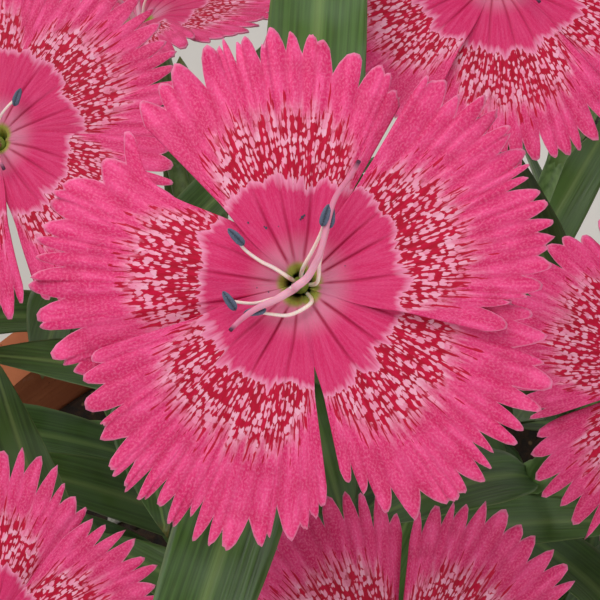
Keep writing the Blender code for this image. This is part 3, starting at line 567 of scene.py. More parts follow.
# Each edge goes from the clockwise side on: a notch, then each tooth's tip and the notch after it, in degrees round
# the bloom and mm from its throat, read one by one
FRONT_EDGES = (
    (
        (60.8, 15.6), (63.5, 16.5), (65.4, 16.2), (66.8, 17.6), (68, 17.3), (69.5, 17.9), (73.6, 15.7),
        (75.5, 18.2), (81.2, 16.3), (84.5, 18.8), (86, 18.6), (87.4, 19.2), (89.4, 17.6), (92.2, 19.4),
        (93.4, 17.9), (96.6, 19.8), (98.2, 18.5), (99, 18.6), (100, 17.2), (102.4, 19.4), (103.8, 18.9),
        (104.4, 19.2), (106, 17.6), (107.3, 19.8), (108.2, 18.7), (108.8, 19.3), (109.6, 18.8), (111.5, 19.5),
        (115.4, 16.7), (119.5, 19.3), (122.8, 17.9), (125.2, 18.6), (127.4, 16.8), (131.3, 18.5), (134.5, 16.8),
    ),
    (
        (136.2, 16.6), (137.6, 17.6), (142, 16.2), (147.5, 17.8), (151.6, 16.9), (156.8, 19.8), (158, 19.3),
        (159.2, 20.1), (160.2, 19.6), (161.5, 20.1), (164.2, 18.5), (167.4, 20), (168.8, 18.8), (170, 20.4),
        (172, 18.1), (174, 20.2), (175.6, 18.1), (178.4, 20.4), (179, 20.2), (180.2, 20.7), (183.3, 18),
        (187.3, 20.3), (188.3, 19.8), (189.3, 20.1), (191.1, 16.9), (196.5, 19.7), (197.7, 18.8), (198.8, 19),
        (199.4, 17.8), (201.3, 18.4), (204, 17),
    ),
    (
        (197.6, 15.8), (198.8, 16.7), (201.5, 16.1), (202.9, 17.8), (206.8, 16.6), (209, 18.7), (213.9, 16.4),
        (214.9, 18.4), (216, 18.2), (217.7, 19.2), (221.4, 17.5), (224, 20.1), (225.1, 19.8), (225.8, 20.4),
        (226.8, 18.2), (228.7, 20.4), (229.2, 20.2), (229.8, 20.7), (231, 17.9), (233.1, 20.5), (233.7, 20),
        (234.2, 20.2), (235.6, 17.9), (237.2, 20), (239.2, 18.5), (240.9, 20.8), (241.6, 20.5), (242.4, 20.9),
        (243.7, 18.6), (244.7, 19.6), (245.9, 17.9), (247.2, 21.1), (249.5, 18.8), (250.7, 20.9), (252.4, 19.5),
        (254.4, 20.9), (257.6, 18.2), (261.7, 20.1), (262.4, 19.1), (263.2, 19.4), (264, 16.9), (268.1, 19.5),
        (270, 18.2), (271.7, 18.6), (272.4, 17.1), (274.4, 17.7), (274.9, 16.6), (276.2, 16.9), (277.6, 15.4),
    ),
    (
        (282.1, 14.4), (283.4, 15.4), (285.8, 14.1), (286.8, 16.6), (289.2, 15.7), (290.4, 18.6), (294.2, 16.9),
        (296, 20), (300.3, 18.2), (303.8, 20.1), (304.8, 19.9), (306.2, 20.3), (307.4, 19.9), (308.8, 20.2),
        (310.2, 18.6), (313.2, 20.5), (314.8, 18.8), (316.3, 20.2), (317.7, 17.6), (319.1, 19.5), (320.9, 17.5),
        (323.9, 20.4), (325.3, 18.2), (326.9, 20.3), (329.3, 17.5), (332.7, 20.7), (334.6, 17.9), (338.7, 20.6),
        (340.9, 18.9), (342.5, 19.5), (343.6, 16.9), (348.5, 19.3), (350.6, 16.6), (353.5, 17.8), (354.8, 15.9),
        (355.8, 16.2), (356.5, 14.9),
    ),
    (
        (-14.2, 14.3), (-11.8, 16), (-7, 13.8), (-4.8, 16), (-4.1, 15.4), (-3, 17.3), (-2.2, 16.9), (-0.6, 18.4),
        (2.4, 16.9), (4, 19.1), (7.1, 18.2), (8.6, 19.1), (9.2, 18.9), (10.8, 19.8), (12.6, 18.5), (14, 19.9),
        (16, 18.1), (18.6, 19.9), (19.8, 18.8), (21.4, 19.7), (24.3, 17.3), (25.3, 19.2), (26.6, 17.9),
        (27.7, 19.7), (28.6, 18.6), (30.9, 20), (33.4, 18.1), (35.7, 19.7), (36.3, 19.4), (37.3, 20.1),
        (39.3, 18.1), (41.7, 20.1), (43.2, 18.4), (45.8, 20.1), (47.4, 17.3), (50.3, 18.8), (51.6, 17.3),
        (54.8, 19.1), (57.7, 18.2), (58.8, 18.5), (59.8, 16.8),
    ),
)
print("teeth on the front bloom:", sum(len(edge) // 2 for edge in FRONT_EDGES))

# %% [markdown]
# The other blooms draw their teeth and petals at random, always from the same seeds, so that the plant is the same
# each time. Seen along its own side, from -1 to 1, an edge is a list of notches and tips and how far each reaches.

# %% Petals and edges of any bloom
BLOOM_REACH = 20 * MM
SIDE_DROP = 0.15
PETALS = 5
OTHER_TEETH = 14


def outline(across):
    """How far a petal's edge reaches at each side, before its teeth are cut."""
    return 1 - SIDE_DROP * abs(across) ** 3


def front_fringe(petal, edge):
    """The edge of a petal of the front bloom, as fringe gives it."""
    made = []
    for angle, far in edge:
        across = 2 * (angle - petal.first) / (petal.last - petal.first) - 1
        made.append((across, far * MM / (petal.reach * BLOOM_REACH * outline(across))))
    return made


def fringe(seed):
    """A random edge: its notches and tips as (side, reach)."""
    draw = random.Random(seed)
    widths = [draw.uniform(0.65, 1.35) for _ in range(OTHER_TEETH)]
    low = -1.0
    edge = [(low, 1 - draw.uniform(0.11, 0.19))]
    for width in widths:
        high = low + 2 * width / sum(widths)
        lean = draw.uniform(-0.12, 0.12) * (high - low)
        edge.append(((low + high) / 2 + lean, 1 - draw.uniform(0, 0.06)))
        edge.append((high, 1 - draw.uniform(0.09, 0.20)))
        low = high
    return edge


def petals_of(index):
    """The petals of a bloom."""
    if index == 0:
        return FRONT_PETALS
    draw = random.Random(500 + index)
    made = []
    for k in range(PETALS):
        middle = 360 / PETALS * k + draw.uniform(-3, 3)
        half = 36 + draw.uniform(-1.5, 1.5)
        reach = STEMS[index].size * draw.uniform(0.97, 1.03)
        made.append(Petal(middle - half, middle + half, reach, 0.6, -0.5, 0))
    return made


print("petals in all:", sum(len(petals_of(index)) for index in range(len(STEMS))))

# %% [markdown]
# A petal rises from the throat, spreads flat, and droops a little at its edge, with one side over its neighbour and
# the other under. The relief makes it look grown: a groove runs inwards from each notch, folds radiate over the eye,
# and each tooth has its own roundness.

# %% The petal's form
THROAT_RADIUS = 1.1 * MM
LIMB_START = 0.6 * MM
LIMB_RISE = 1.5 * MM
LIMB_LENGTH = 2.2 * MM
LIMB_DROOP = 1.3 * MM
EDGE_LIFT_FROM = 2.5 * MM
EDGE_LIFT_TO = 9 * MM
FOLD_WIDE = 0.1 * MM


def side_angle(petal, across, share):
    """The direction of a place on a petal, from its clockwise side, -1, to its other, 1."""
    waist = petal.waist * max(0, -across) * smoothstep(0.25, 0.6, share) * (1 - smoothstep(0.65, 0.9, share))
    return petal.first + (petal.last - petal.first) * (across + 1) / 2 + waist


def petal_height(radius, across, petal):
    """The height of a petal's upper face over the throat."""
    flare = LIMB_RISE * (1 - math.exp(-(radius - THROAT_RADIUS) / LIMB_LENGTH)) - LIMB_START
    droop = LIMB_DROOP * (radius / (petal.reach * BLOOM_REACH)) ** 2
    lift = petal.left if across > 0 else petal.right
    part = smoothstep(EDGE_LIFT_FROM, EDGE_LIFT_TO, radius)
    return flare - droop + lift * MM * part * abs(across) ** 1.5


def tooth_edge(edge, tooth, x, power):
    """The side and the reach of a tooth's edge x of the way across it, with its crest and its notch's depth."""
    tip = edge[2 * tooth + 1]
    notch = edge[2 * tooth] if x < 0.5 else edge[2 * tooth + 2]
    far = abs(2 * x - 1)
    across = tip[0] + (notch[0] - tip[0]) * far
    return across, tip[1] - (tip[1] - notch[1]) * far**power, 1 - far, smoothstep(0.01, 0.12, tip[1] - notch[1])


def fold_mark(folds, petal, across, radius):
    """How deep in a fold a place on the eye is."""
    half = math.radians(petal.last - petal.first) / 2
    mark = max(deep * bell(abs(across - at) * half * radius, FOLD_WIDE) for at, deep in folds)
    inside = smoothstep(1.5 * MM, 2.4 * MM, radius) * (1 - 0.75 * smoothstep(5 * MM, 8.5 * MM, radius))
    return mark * inside * (1 - smoothstep(8.5 * MM, 9.5 * MM, radius))


print("limb over the throat:", round(petal_height(8 * MM, 0, FRONT_PETALS[0]) / MM, 2), "mm")

# %% [markdown]
# Each petal is one grid. Its columns run from the claw in the calyx to the fringe, closer together at the notches,
# and its rows are closer together in the teeth, where the outline needs them.

# %% One petal
CLAW_DEEP = 5 * MM
CLAW_RADIUS = 1.4 * MM
CLAW_NARROW = 0.8 * MM
CLAW_FOLD = 0.2
EYE_SPREAD = 5
TEETH_FROM = 0.70
RIDGE = 0.2 * MM
FOLD_DEEP = 0.2 * MM
FOLDS = (-0.4, 0.12, 0.55)
WAVE = 0.6 * MM
WAVE_LENGTH = 7 * MM
CURL = 0.9 * MM
ROUND_SCALE = 10 / math.degrees(1)


def add_petal(bm, index, k, petal, steps, rows):
    """Adds one petal to its bloom. steps are the places of columns across a tooth, rows the rows of its claw, of
    its blade and of its teeth."""
    edge = fringe(1000 + 10 * index + k) if index else front_fringe(petal, FRONT_EDGES[k])
    teeth = len(edge) // 2
    draw = random.Random(4000 + 10 * index + k)
    powers = [draw.uniform(1.3, 2.7) for _ in range(teeth)]
    curls = [draw.uniform(-0.7, 1.0) * CURL for _ in range(teeth)]
    folds = [(at + draw.uniform(-0.07, 0.07), draw.uniform(0.6, 1.0)) for at in FOLDS]
    columns = teeth * len(steps)
    claw_rows, inner_rows, outer_rows = rows
    total = sum(rows)
    limb = petal.reach * BLOOM_REACH
    place = bloom_frame(index)

    def bend(p):
        tooth, step = divmod(round(p.x * columns), len(steps))
        x = steps[step]
        if tooth == teeth:
            tooth, x = teeth - 1, 1.0
        across, reach, crest, notched = tooth_edge(edge, tooth, x, powers[tooth])
        reach *= 1 + 0.012 * noise.noise(Vector((across * 60, 9 * k, index)))
        row = round(p.y * total) - claw_rows
        inner = TEETH_FROM * limb * outline(across)
        edge_radius = limb * reach * outline(across)
        if row <= 0:
            radius = CLAW_RADIUS - CLAW_NARROW * math.sqrt(-row / claw_rows)
        elif row <= inner_rows:
            radius = CLAW_RADIUS + (inner - CLAW_RADIUS) * row / inner_rows
        else:
            radius = inner + (edge_radius - inner) * (row - inner_rows) / outer_rows
        share = radius / limb
        angle = side_angle(petal, across, share)
        angle += EYE_SPREAD * across * (1 - smoothstep(3 * MM, 9 * MM, radius))
        folded = 1 - CLAW_FOLD * across**2 * (1 - smoothstep(CLAW_RADIUS, 3 * MM, radius))
        spot = compass(angle) * radius * folded
        height = petal_height(max(radius, CLAW_RADIUS), across, petal)
        round_mm = angle * ROUND_SCALE + 40 * k
        if row <= 0:
            down = -row / claw_rows * CLAW_DEEP
            return place @ (spot + UP * (height - down)), (round_mm, (CLAW_RADIUS - down) / MM, 0), (across, 0, 0)
        height += WAVE * noise.noise(place @ spot / WAVE_LENGTH) * smoothstep(0.2, 0.8, share)
        height -= RIDGE * (1 - crest) * notched * smoothstep(0.45, 0.8, share)
        height += curls[tooth] * smoothstep(0.78, 1.05, share) ** 2
        bending = 0.05 * share * noise.noise(Vector((radius / MM / 2.5, 7 * k, index)))
        mark = fold_mark(folds, petal, across - bending, radius)
        grain = (round_mm, radius / MM, radius / edge_radius)
        return place @ (spot + UP * (height - FOLD_DEEP * mark)), grain, (across, mark, crest)

    sheet(bm, columns, total, bend)


print("folds on each petal:", len(FOLDS))

# %% [markdown]
# Each bloom is one piece: five petals on their claws. A Solidify modifier gives the sheets their thickness, downwards
# from the upper face that the CAD model shares, and their back its own skin. Blooms further from the camera get fewer
# columns and rows.

# %% Make the blooms
PETAL_THICK = 0.24 * MM
FRONT_GRID = ((0.0, 0.1, 0.24, 0.38, 0.5, 0.62, 0.76, 0.9), (5, 26, 14))
NEAR_GRID = ((0.0, 0.12, 0.3, 0.5, 0.7, 0.88), (3, 12, 8))
FAR_GRID = ((0.0, 0.2, 0.5, 0.8), (2, 9, 6))
NEAR_BLOOMS = 6

for index in range(len(STEMS)):
    grid = FAR_GRID if index >= NEAR_BLOOMS else NEAR_GRID if index else FRONT_GRID
    bm = new_shape()
    for k, petal in enumerate(petals_of(index)):
        add_petal(bm, index, k, petal, *grid)
    bmesh.ops.reverse_faces(bm, faces=bm.faces)
    name = f"petals_{index + 1:02d}"
    bloom = piece("fringed_" + name, bm, [velvet, petal_back], name)
    skin = bloom.modifiers.new("thickness", "SOLIDIFY")
    skin.thickness = PETAL_THICK
    skin.offset = -1
    skin.use_even_offset = False
    skin.material_offset = 1
print("blooms:", len(STEMS))

# %% [markdown]
# ## Leaves find their room
# A dianthus carries its leaves in opposite pairs, each pair turned a quarter from the next. A leaf is lance-shaped,
# folded along its midrib, and bends away from the stem on an arc.

# %% The form of a leaf
STEM_FOOT_RADIUS = 1.6 * MM
STEM_TOP_RADIUS = 1.05 * MM
LEAF_FOLD = 0.25
Leaf = namedtuple("Leaf", "root up out length width lean arch")


def stem_radius(share):
    """The radius of a stem at a share of its height."""
    return STEM_FOOT_RADIUS + (STEM_TOP_RADIUS - STEM_FOOT_RADIUS) * share


def square_to(direction, side):
    """A unit vector square to direction, towards a side."""
    return (side - direction * side.dot(direction)).normalized()


def leaf_width(share, width):
    """Half the width of a leaf at a share of its length, which is width at two fifths."""
    return 2.75 * width * (share + 0.02) ** 0.7 * (1 - share) ** 0.85


def leaf_spine(leaf, share):
    """The midrib at a share of the leaf's length, with the directions out of its upper face and across it."""
    bend = leaf.arch - leaf.lean
    angle = leaf.lean + bend * share
    rise = (math.sin(angle) - math.sin(leaf.lean)) / bend
    run = (math.cos(leaf.lean) - math.cos(angle)) / bend
    middle = leaf.root + (leaf.up * rise + leaf.out * run) * leaf.length
    return middle, leaf.up * math.sin(angle) - leaf.out * math.cos(angle), leaf.up.cross(leaf.out)


def leaf_point(leaf, share, side):
    """A point on a leaf's upper face: share runs from its root to its tip, side across it from -1 to 1."""
    middle, upper, flank = leaf_spine(leaf, share)
    half = leaf_width(share, leaf.width)
    return middle + flank * half * side + upper * half * LEAF_FOLD * abs(side)


print("half a leaf's width, from root to tip:", [round(leaf_width(k / 5, 1), 2) for k in range(6)])

# %% [markdown]
# Copies of one leaf would cut through each other. So space is divided into small cells, the stems and blooms take
# theirs first, and each leaf grows where its cells are free, or a little shorter and turned aside until they are.

# %% Cells of space
CELL = 1.6 * MM
LEAF_FREE = 5 * MM
LEAF_LINES = (-1, -0.67, -0.33, 0, 0.33, 0.67, 1)
SOIL_CLEAR = 1.5 * MM
RIM_CLEAR = 2 * MM


def cells(points):
    """The cells that points lie in."""
    return {tuple(round(value / CELL) for value in point) for point in points}


def with_neighbours(found):
    """Cells, with all that touch them."""
    steps = (-1, 0, 1)
    return {(x + i, y + j, z + k) for x, y, z in found for i in steps for j in steps for k in steps}


def line_cells(line, steps):
    return cells([line[0](step / steps) for step in range(steps + 1)])


def leaf_cells(leaf):
    """The cells that a leaf passes through, past its first stretch by the stem, and its points."""
    rows = math.ceil(leaf.length / CELL * 1.5)
    first = math.ceil(rows * LEAF_FREE / leaf.length)
    points = [leaf_point(leaf, row / rows, side) for row in range(first, rows + 1) for side in LEAF_LINES]
    return cells(points), points


def bloom_cells(index):
    """The cells of a bloom and its calyx."""
    place = bloom_frame(index)
    reach = BLOOM_REACH * STEMS[index].size
    found = cells([place @ (UP * -CALYX_LENGTH * k / 12) for k in range(13)])
    return found | cells([place @ (compass(4 * k) * reach * ring / 18) for ring in range(1, 19) for k in range(90)])


def over_pot(point):
    """Whether a point keeps clear of the soil and of the pot's rim."""
    far = math.hypot(point.x, point.y)
    if far < inner_radius(POT_HEIGHT) - RIM_CLEAR:
        return point.z > soil_height(point.x, point.y) + SOIL_CLEAR
    return far > POT_RIM_RADIUS + RIM_CLEAR or point.z > POT_HEIGHT + RIM_CLEAR


print("cells of the front bloom:", len(bloom_cells(0)))

# %% [markdown]
# Some stems carry a bud on a side branch, and low down some send out a shoot that leans over the rim.

# %% Side branches
def bud_line(branch):
    """The line of a side branch, up to the foot of its bud."""
    point, heading = stem_line(branch.stem)
    start = point(branch.share)
    out = compass(branch.side) * branch.length * MM
    rise = UP * branch.length * MM
    first = start + heading(branch.share) * 0.2 * rise.length + out * 0.3
    return bezier((start, first, start + out * 0.45 + rise * 0.5, start + out * 0.55 + rise))


def shoot_line(branch):
    """The line of a side shoot, which leans out over the rim."""
    start = stem_line(branch.stem)[0](branch.share)
    out = compass(branch.side) * branch.length * MM
    rise = UP * branch.length * MM
    return bezier([start + out * far + rise * up for far, up in ((0, 0), (0.20, 0.30), (0.55, 0.42), (0.85, 0.60))])


print("the first bud ends at:", *(round(part, 3) for part in bud_line(BUDS[0])[0](1)))

# %% [markdown]
# Leaves are drawn at random from fixed seeds. The CAD model grew its leaves the same way from the same seeds, so
# these are the same leaves.

# %% Grow a leaf, and pairs of them
LOWEST_PAIR = 0.12
HIGHEST_PAIR = 0.80
LEAF_ROOT = 0.5 * MM
LEAF_TRIES = 40
LEAF_SHRINK = 0.015


def grow_leaf(draw, taken, root, heading, azimuth, shape):
    """Draws a leaf until it finds room, shorter each time. A leaf that finds none isn't grown."""
    length, width, lean, arch = shape
    for attempt in range(LEAF_TRIES):
        sway = 7 + attempt
        out = square_to(heading, compass(azimuth + draw.uniform(-sway, sway)))
        leaf = Leaf(
            root + out * LEAF_ROOT,
            heading,
            out,
            length * MM * (1 - LEAF_SHRINK * attempt) * draw.uniform(0.92, 1.08),
            width * MM,
            math.radians(lean + draw.uniform(-6, 6)),
            math.radians(arch + draw.uniform(-10, 10)),
        )
        through, points = leaf_cells(leaf)
        if taken.isdisjoint(through) and all(over_pot(point) for point in points):
            taken |= with_neighbours(through)
            return [leaf]
    return []


def grow_pairs(draw, taken, line, turn, pairs, shapes):
    """Grows pairs of leaves along a line, each pair given by its share of the way and that of its shape."""
    grown = []
    for k, (up, late) in enumerate(pairs):
        shape = [low + (high - low) * late for low, high in zip(*shapes)]
        for half in (0, 180):
            grown += grow_leaf(draw, taken, line[0](up), line[1](up), turn + 90 * (k % 2) + half, shape)
    return grown


def leaf_pairs(stem):
    """The places of a stem's pairs of leaves, as shares of its length."""
    return [LOWEST_PAIR + (HIGHEST_PAIR - LOWEST_PAIR) * k / (stem.pairs - 1) for k in range(stem.pairs)]


print("a stem's pairs:", [round(share, 2) for share in leaf_pairs(STEMS[0])])

# %% [markdown]
# The stems, blooms and buds take their room first. Then come the leaf behind the sharp bloom, which the photo shows,
# the side shoots, and last the stems.

# %% Grow all the leaves
# Length and half the width in mm, then the lean at root and tip in degrees, for the lowest and the highest pair
STEM_LEAVES = ((50, 3.8, 38, 88), (32, 3.2, 28, 64))
SHOOT_LEAVES = ((38, 3.6, 45, 85), (23, 3.6, 18, 55))
SHOOT_PAIRS = (0.35, 0.57, 0.78, 0.97)
FRONT_LEAF = (58, 4.6, 50, 88)
FRONT_LEAF_SIDES = (95, 257)
BUD_LENGTH = 13 * MM


def grow_leaves():
    """Every leaf of each stem, in turn, each in the room that the stems, blooms and earlier leaves leave it."""
    taken = set()
    for index in range(len(STEMS)):
        taken |= with_neighbours(line_cells(stem_line(index), 100) | bloom_cells(index))
    for branch in BUDS:
        point, heading = bud_line(branch)
        tip = straight(point(1), point(1) + heading(1) * BUD_LENGTH)
        taken |= with_neighbours(line_cells((point, heading), 20) | line_cells(tip, 12))
    for branch in SHOOTS:
        taken |= with_neighbours(line_cells(shoot_line(branch), 60))
    grown = {index: [] for index in range(len(STEMS))}
    root, heading = (part(HIGHEST_PAIR) for part in stem_line(0))
    for azimuth in FRONT_LEAF_SIDES:
        grown[0] += grow_leaf(random.Random(azimuth), taken, root, heading, azimuth, FRONT_LEAF)
    for branch in SHOOTS:
        draw = random.Random(300 + branch.stem)
        pairs = [(up, k / (len(SHOOT_PAIRS) - 1)) for k, up in enumerate(SHOOT_PAIRS)]
        grown[branch.stem] += grow_pairs(draw, taken, shoot_line(branch), branch.side, pairs, SHOOT_LEAVES)
    for index, stem in enumerate(STEMS):
        places = leaf_pairs(stem)[: -1 if index == 0 else None]
        pairs = [(up, up) for up in places]
        grown[index] += grow_pairs(random.Random(100 + index), taken, stem_line(index), stem.turn, pairs, STEM_LEAVES)
    return grown


LEAVES = grow_leaves()
print("leaves:", sum(len(grown) for grown in LEAVES.values()))

# %% [markdown]
# ## Green skins
# All the green of a dianthus wears a thin grey-green wax. A leaf has fine veins that run its whole length, a pale
# midrib and a paler back. Its `grain` mark holds mm across and along it and its number, and its `look` mark the side,
# the share of its length, and 1 on its back.

# %% The leaf's skin
# Gives the eye a cool, half-matt green with a bloom of wax that dulls it in clouds 6 mm wide, over veins 0.34 mm apart
leaf_skin, tree, shader, grain, look = new_material(
    "dianthus leaf, waxed", *MARKS, Roughness=0.46, Specular_IOR_Level=0.4
)
number = node(tree, "SeparateXYZ", grain).outputs["Z"]
side, along, back = node(tree, "SeparateXYZ", look).outputs
vein_at = node(tree, "VectorMath", grain, (1 / 0.34, 1 / 16, 0), **TIMES)
vein = node(tree, "TexNoise", Vector=vein_at, Scale=1, Detail=2, **FLAT)
veined = node(tree, "MapRange", vein, 0.35, 0.65)
own = node(tree, "TexWhiteNoise", W=number, noise_dimensions="1D")
own = node(tree, "Math", own, 0.4, **TIMES)
cloud = node(tree, "TexNoise", Vector=grain, Scale=0.16, Detail=2)
wax = node(tree, "MapRange", cloud, 0.4, 0.7, 0, 0.28)
flank = node(tree, "Math", side, operation="ABSOLUTE")
rib = node(tree, "MapRange", flank, 0, 0.2, 0.5, 0, **SMOOTH)
edge = node(tree, "MapRange", flank, 0.93, 1, 0, 0.5)
under = node(tree, "Math", back, 0.6, **TIMES)
tip = node(tree, "MapRange", along, 0.93, 1, 0, 0.6)
green = node(tree, "Mix", Factor=veined, A="#2b4516", B="#45662a", **RGBA)
layers = [(own, "#64853f"), (wax, "#7b9378"), (rib, "#86a15c")]
layers += [(edge, "#8c9a63"), (under, "#6f8c58"), (tip, "#8a7a3c")]
for share, colour in layers:
    green = node(tree, "Mix", Factor=share, A=green, B=colour, **RGBA)
finish_skin(tree, shader, green, cloud, (0.4, 0.58), 0.12 * MM, 0.5, height=vein, span=(0.4, 0.7))

# %% [markdown]
# A stem is paler than the leaves, with long fibres under its wax, and it flushes red in places.

# %% The stem's skin
# Gives the eye fine upright lines in a pale satin green. The fibres are 0.2 mm apart, and drawn at 0.7 mm to show.
FIBRE = (1 / (0.7 * MM), 1 / (0.7 * MM), 1 / (17 * MM))

stem_skin, tree, shader = new_material("dianthus stem, waxed", Roughness=0.5)
here = node(tree, "TexCoord").outputs["Object"]
fibre_at = node(tree, "VectorMath", here, FIBRE, **TIMES)
fibre = node(tree, "TexNoise", Vector=fibre_at, Scale=1, Detail=2)
fibred = node(tree, "MapRange", fibre, 0.35, 0.65)
green = node(tree, "Mix", Factor=fibred, A="#55733a", B="#7b9a5b", **RGBA)
flush = node(tree, "TexNoise", Vector=here, Scale=1 / (17 * MM), Detail=1)
flush = node(tree, "MapRange", flush, 0.55, 0.8, 0, 0.5)
green = node(tree, "Mix", Factor=flush, A=green, B="#7a4a4c", **RGBA)
finish_skin(tree, shader, green, fibre, (0.44, 0.6), 0.06 * MM, 0.5)

# %% [markdown]
# A calyx is ribbed. Its `look` mark holds rib or furrow and how near a point's tip, where it flushes purple.

# %% The calyx's skin
# Gives the eye pale ribs with painted shade in the furrows between them, and purple points
calyx_skin, tree, shader, look = new_material("dianthus calyx, ribbed", "look", Roughness=0.5)
here = node(tree, "TexCoord").outputs["Object"]
rib, point, _ = node(tree, "SeparateXYZ", look).outputs
ribbed = node(tree, "MapRange", rib, -1, 1)
cloud = node(tree, "TexNoise", Vector=here, Scale=1 / (4 * MM), Detail=3)
patch = node(tree, "MapRange", cloud, 0.4, 0.7, 0, 0.5)
flush = node(tree, "MapRange", point, 0.35, 1, 0, 0.8, **SMOOTH)
# Painted shade darkens the furrows between the paler ribs
green = node(tree, "Mix", Factor=ribbed, A="#4b6a30", B="#7f9c56", **RGBA)
for share, colour in ((patch, "#6d8350"), (flush, "#74394a")):
    green = node(tree, "Mix", Factor=share, A=green, B=colour, **RGBA)
finish_skin(tree, shader, green, cloud, (0.42, 0.62), 0.08 * MM, 0.5)

# %% [markdown]
# ## Leafy stems
# A bevelled curve object would make a stem too, but here the tube has to swell at its knots and share one piece with
# its leaves. It keeps one flank to the curve's own plane, so that it never twists. A leaf has a channel above, a keel
# below, and a broad foot that clasps the stem.

# %% Tubes and leaves
LEAF_SIDES = 12
LEAF_ROWS = 20
LEAF_BLADE = 0.16 * MM
LEAF_KEEL = 0.7 * MM
LEAF_CLASP = 1.35 * MM
LEAF_WAVE = 0.5 * MM
STEM, BLADE, CALYX, PETAL_TIP = range(4)


def tube(bm, line, radius, sides, rings, surface):
    """Adds a tube along a line. radius gives how wide it is at each share of the way."""
    point, heading = line
    bend = heading(0).cross(heading(1))
    if bend.length < 0.01:
        bend = heading(0).orthogonal()

    def place(p):
        direction = heading(p.z)
        side = square_to(direction, bend)
        flank = direction.cross(side)
        return point(p.z) + (side * p.x + flank * p.y) * radius(p.z), (0, p.z, 0)

    prism(bm, sides, rings, place, surface)


def add_leaf(bm, leaf, number):
    """Adds a leaf. Its number gives it its own shade and waves."""

    def place(p):
        middle, upper, flank = leaf_spine(leaf, p.z)
        clasp = LEAF_CLASP * (1 - smoothstep(0, 0.14, p.z))
        half = max(leaf_width(p.z, leaf.width), clasp)
        edge = abs(p.x)
        body = (1 - p.z**3) * min(1, leaf_width(p.z, 1))
        deep = (LEAF_BLADE + LEAF_KEEL * (1 - edge) ** 2) * body if p.y < 0 else 0
        wave = LEAF_WAVE * edge * noise.noise(Vector((p.z * 6, math.copysign(3, p.x), number)))
        wave *= smoothstep(0.1, 0.4, p.z)
        spot = middle + flank * half * p.x + upper * (half * LEAF_FOLD * edge**1.5 - deep + wave)
        return spot, (half * p.x / MM, p.z * leaf.length / MM, number), (p.x, p.z, p.y < 0)

    prism(bm, LEAF_SIDES, LEAF_ROWS, place, BLADE)


print("triangles of a leaf:", 2 * LEAF_SIDES * LEAF_ROWS + 2 * (LEAF_SIDES - 2))

# %% [markdown]
# The calyx is a tube of five fused sepals whose points stand free round the petals. One sheet makes its outside, its
# points and its inside, so that no seam shows at the points.

# %% Calyx
CALYX_COLUMNS = 40
CALYX_OUTSIDE = 18
CALYX_INSIDE = 5
CALYX_WALL = 0.3 * MM
CALYX_DEEP = 9 * MM
CALYX_RIB = 0.04 * MM
CALYX_FLARE = 0.25 * MM


def calyx_radius(down, length, wide):
    """The calyx's radius at a distance below the throat."""
    foot_share = (length - down) / length
    return wide * (0.34 + 0.66 * smoothstep(0, 0.34, foot_share)) * (1 - 0.05 * smoothstep(0.5, 1, foot_share))


def add_calyx(bm, place, length, wide, tip, root):
    """Adds a calyx under a throat at place. tip and root are how far below it the points end and start."""
    rows = CALYX_OUTSIDE + CALYX_INSIDE
    tooth = CALYX_COLUMNS // PETALS

    def bend(p):
        column = round(p.x * CALYX_COLUMNS)
        row = round(p.y * rows)
        crest = abs(column % tooth / tooth * 2 - 1)
        top = root + (tip - root) * crest**1.2
        rib = 1 if column % 2 else -1
        if row <= CALYX_OUTSIDE:
            share = row / CALYX_OUTSIDE
            down = length + (top - length) * share
            radius = calyx_radius(down, length, wide) + CALYX_RIB * rib * smoothstep(0, 0.2, share)
        else:
            down = top + (CALYX_DEEP - top) * (row - CALYX_OUTSIDE - 1) / (CALYX_INSIDE - 1)
            radius = calyx_radius(down, length, wide) - CALYX_WALL
        if row == 0:
            radius = 0
        radius += CALYX_FLARE * smoothstep(root, tip, down)
        spot = compass(360 * column / CALYX_COLUMNS) * radius - UP * down
        return place @ spot, (column, down / MM, 0), (rib, crest * smoothstep(2 * root, tip, down), 0)

    sheet(bm, CALYX_COLUMNS, rows, bend, CALYX)


print("ribs on a calyx:", CALYX_COLUMNS // 2)

# %% [markdown]
# Four narrow scales clasp the foot of a calyx, two long and two short.

# %% Scales
SCALES = 4


def add_scales(bm, place, length, wide, low, high):
    """Adds the scales, which cover low and high shares of the calyx in turn."""
    for k in range(SCALES):
        side = 45 + 90 * k
        long = (high if k % 2 else low) * length

        def bend(p):
            down = length - long * p.z
            radius = calyx_radius(down, length, wide) + (0.06 + 0.14 * (p.y > 0)) * MM * (1 - p.z)
            half = wide * 0.75 * (1 - p.z) ** 0.8 * (0.6 + 1.6 * p.z)
            radius += 0.6 * MM * p.z**3
            angle = side + math.degrees(half * p.x / max(radius, 0.4 * wide))
            return place @ (compass(angle) * radius - UP * down), (p.x, down / MM, 1), (0, p.z, 0)

        prism(bm, 8, 8, bend, CALYX)


print("scales on a calyx:", SCALES)

# %% [markdown]
# A bud is a smaller calyx on a side branch, with the petals rolled up tight and showing at its tip.

# %% Buds
BRANCH_RADIUS = 0.8 * MM
BUD_RADIUS = 2.3 * MM


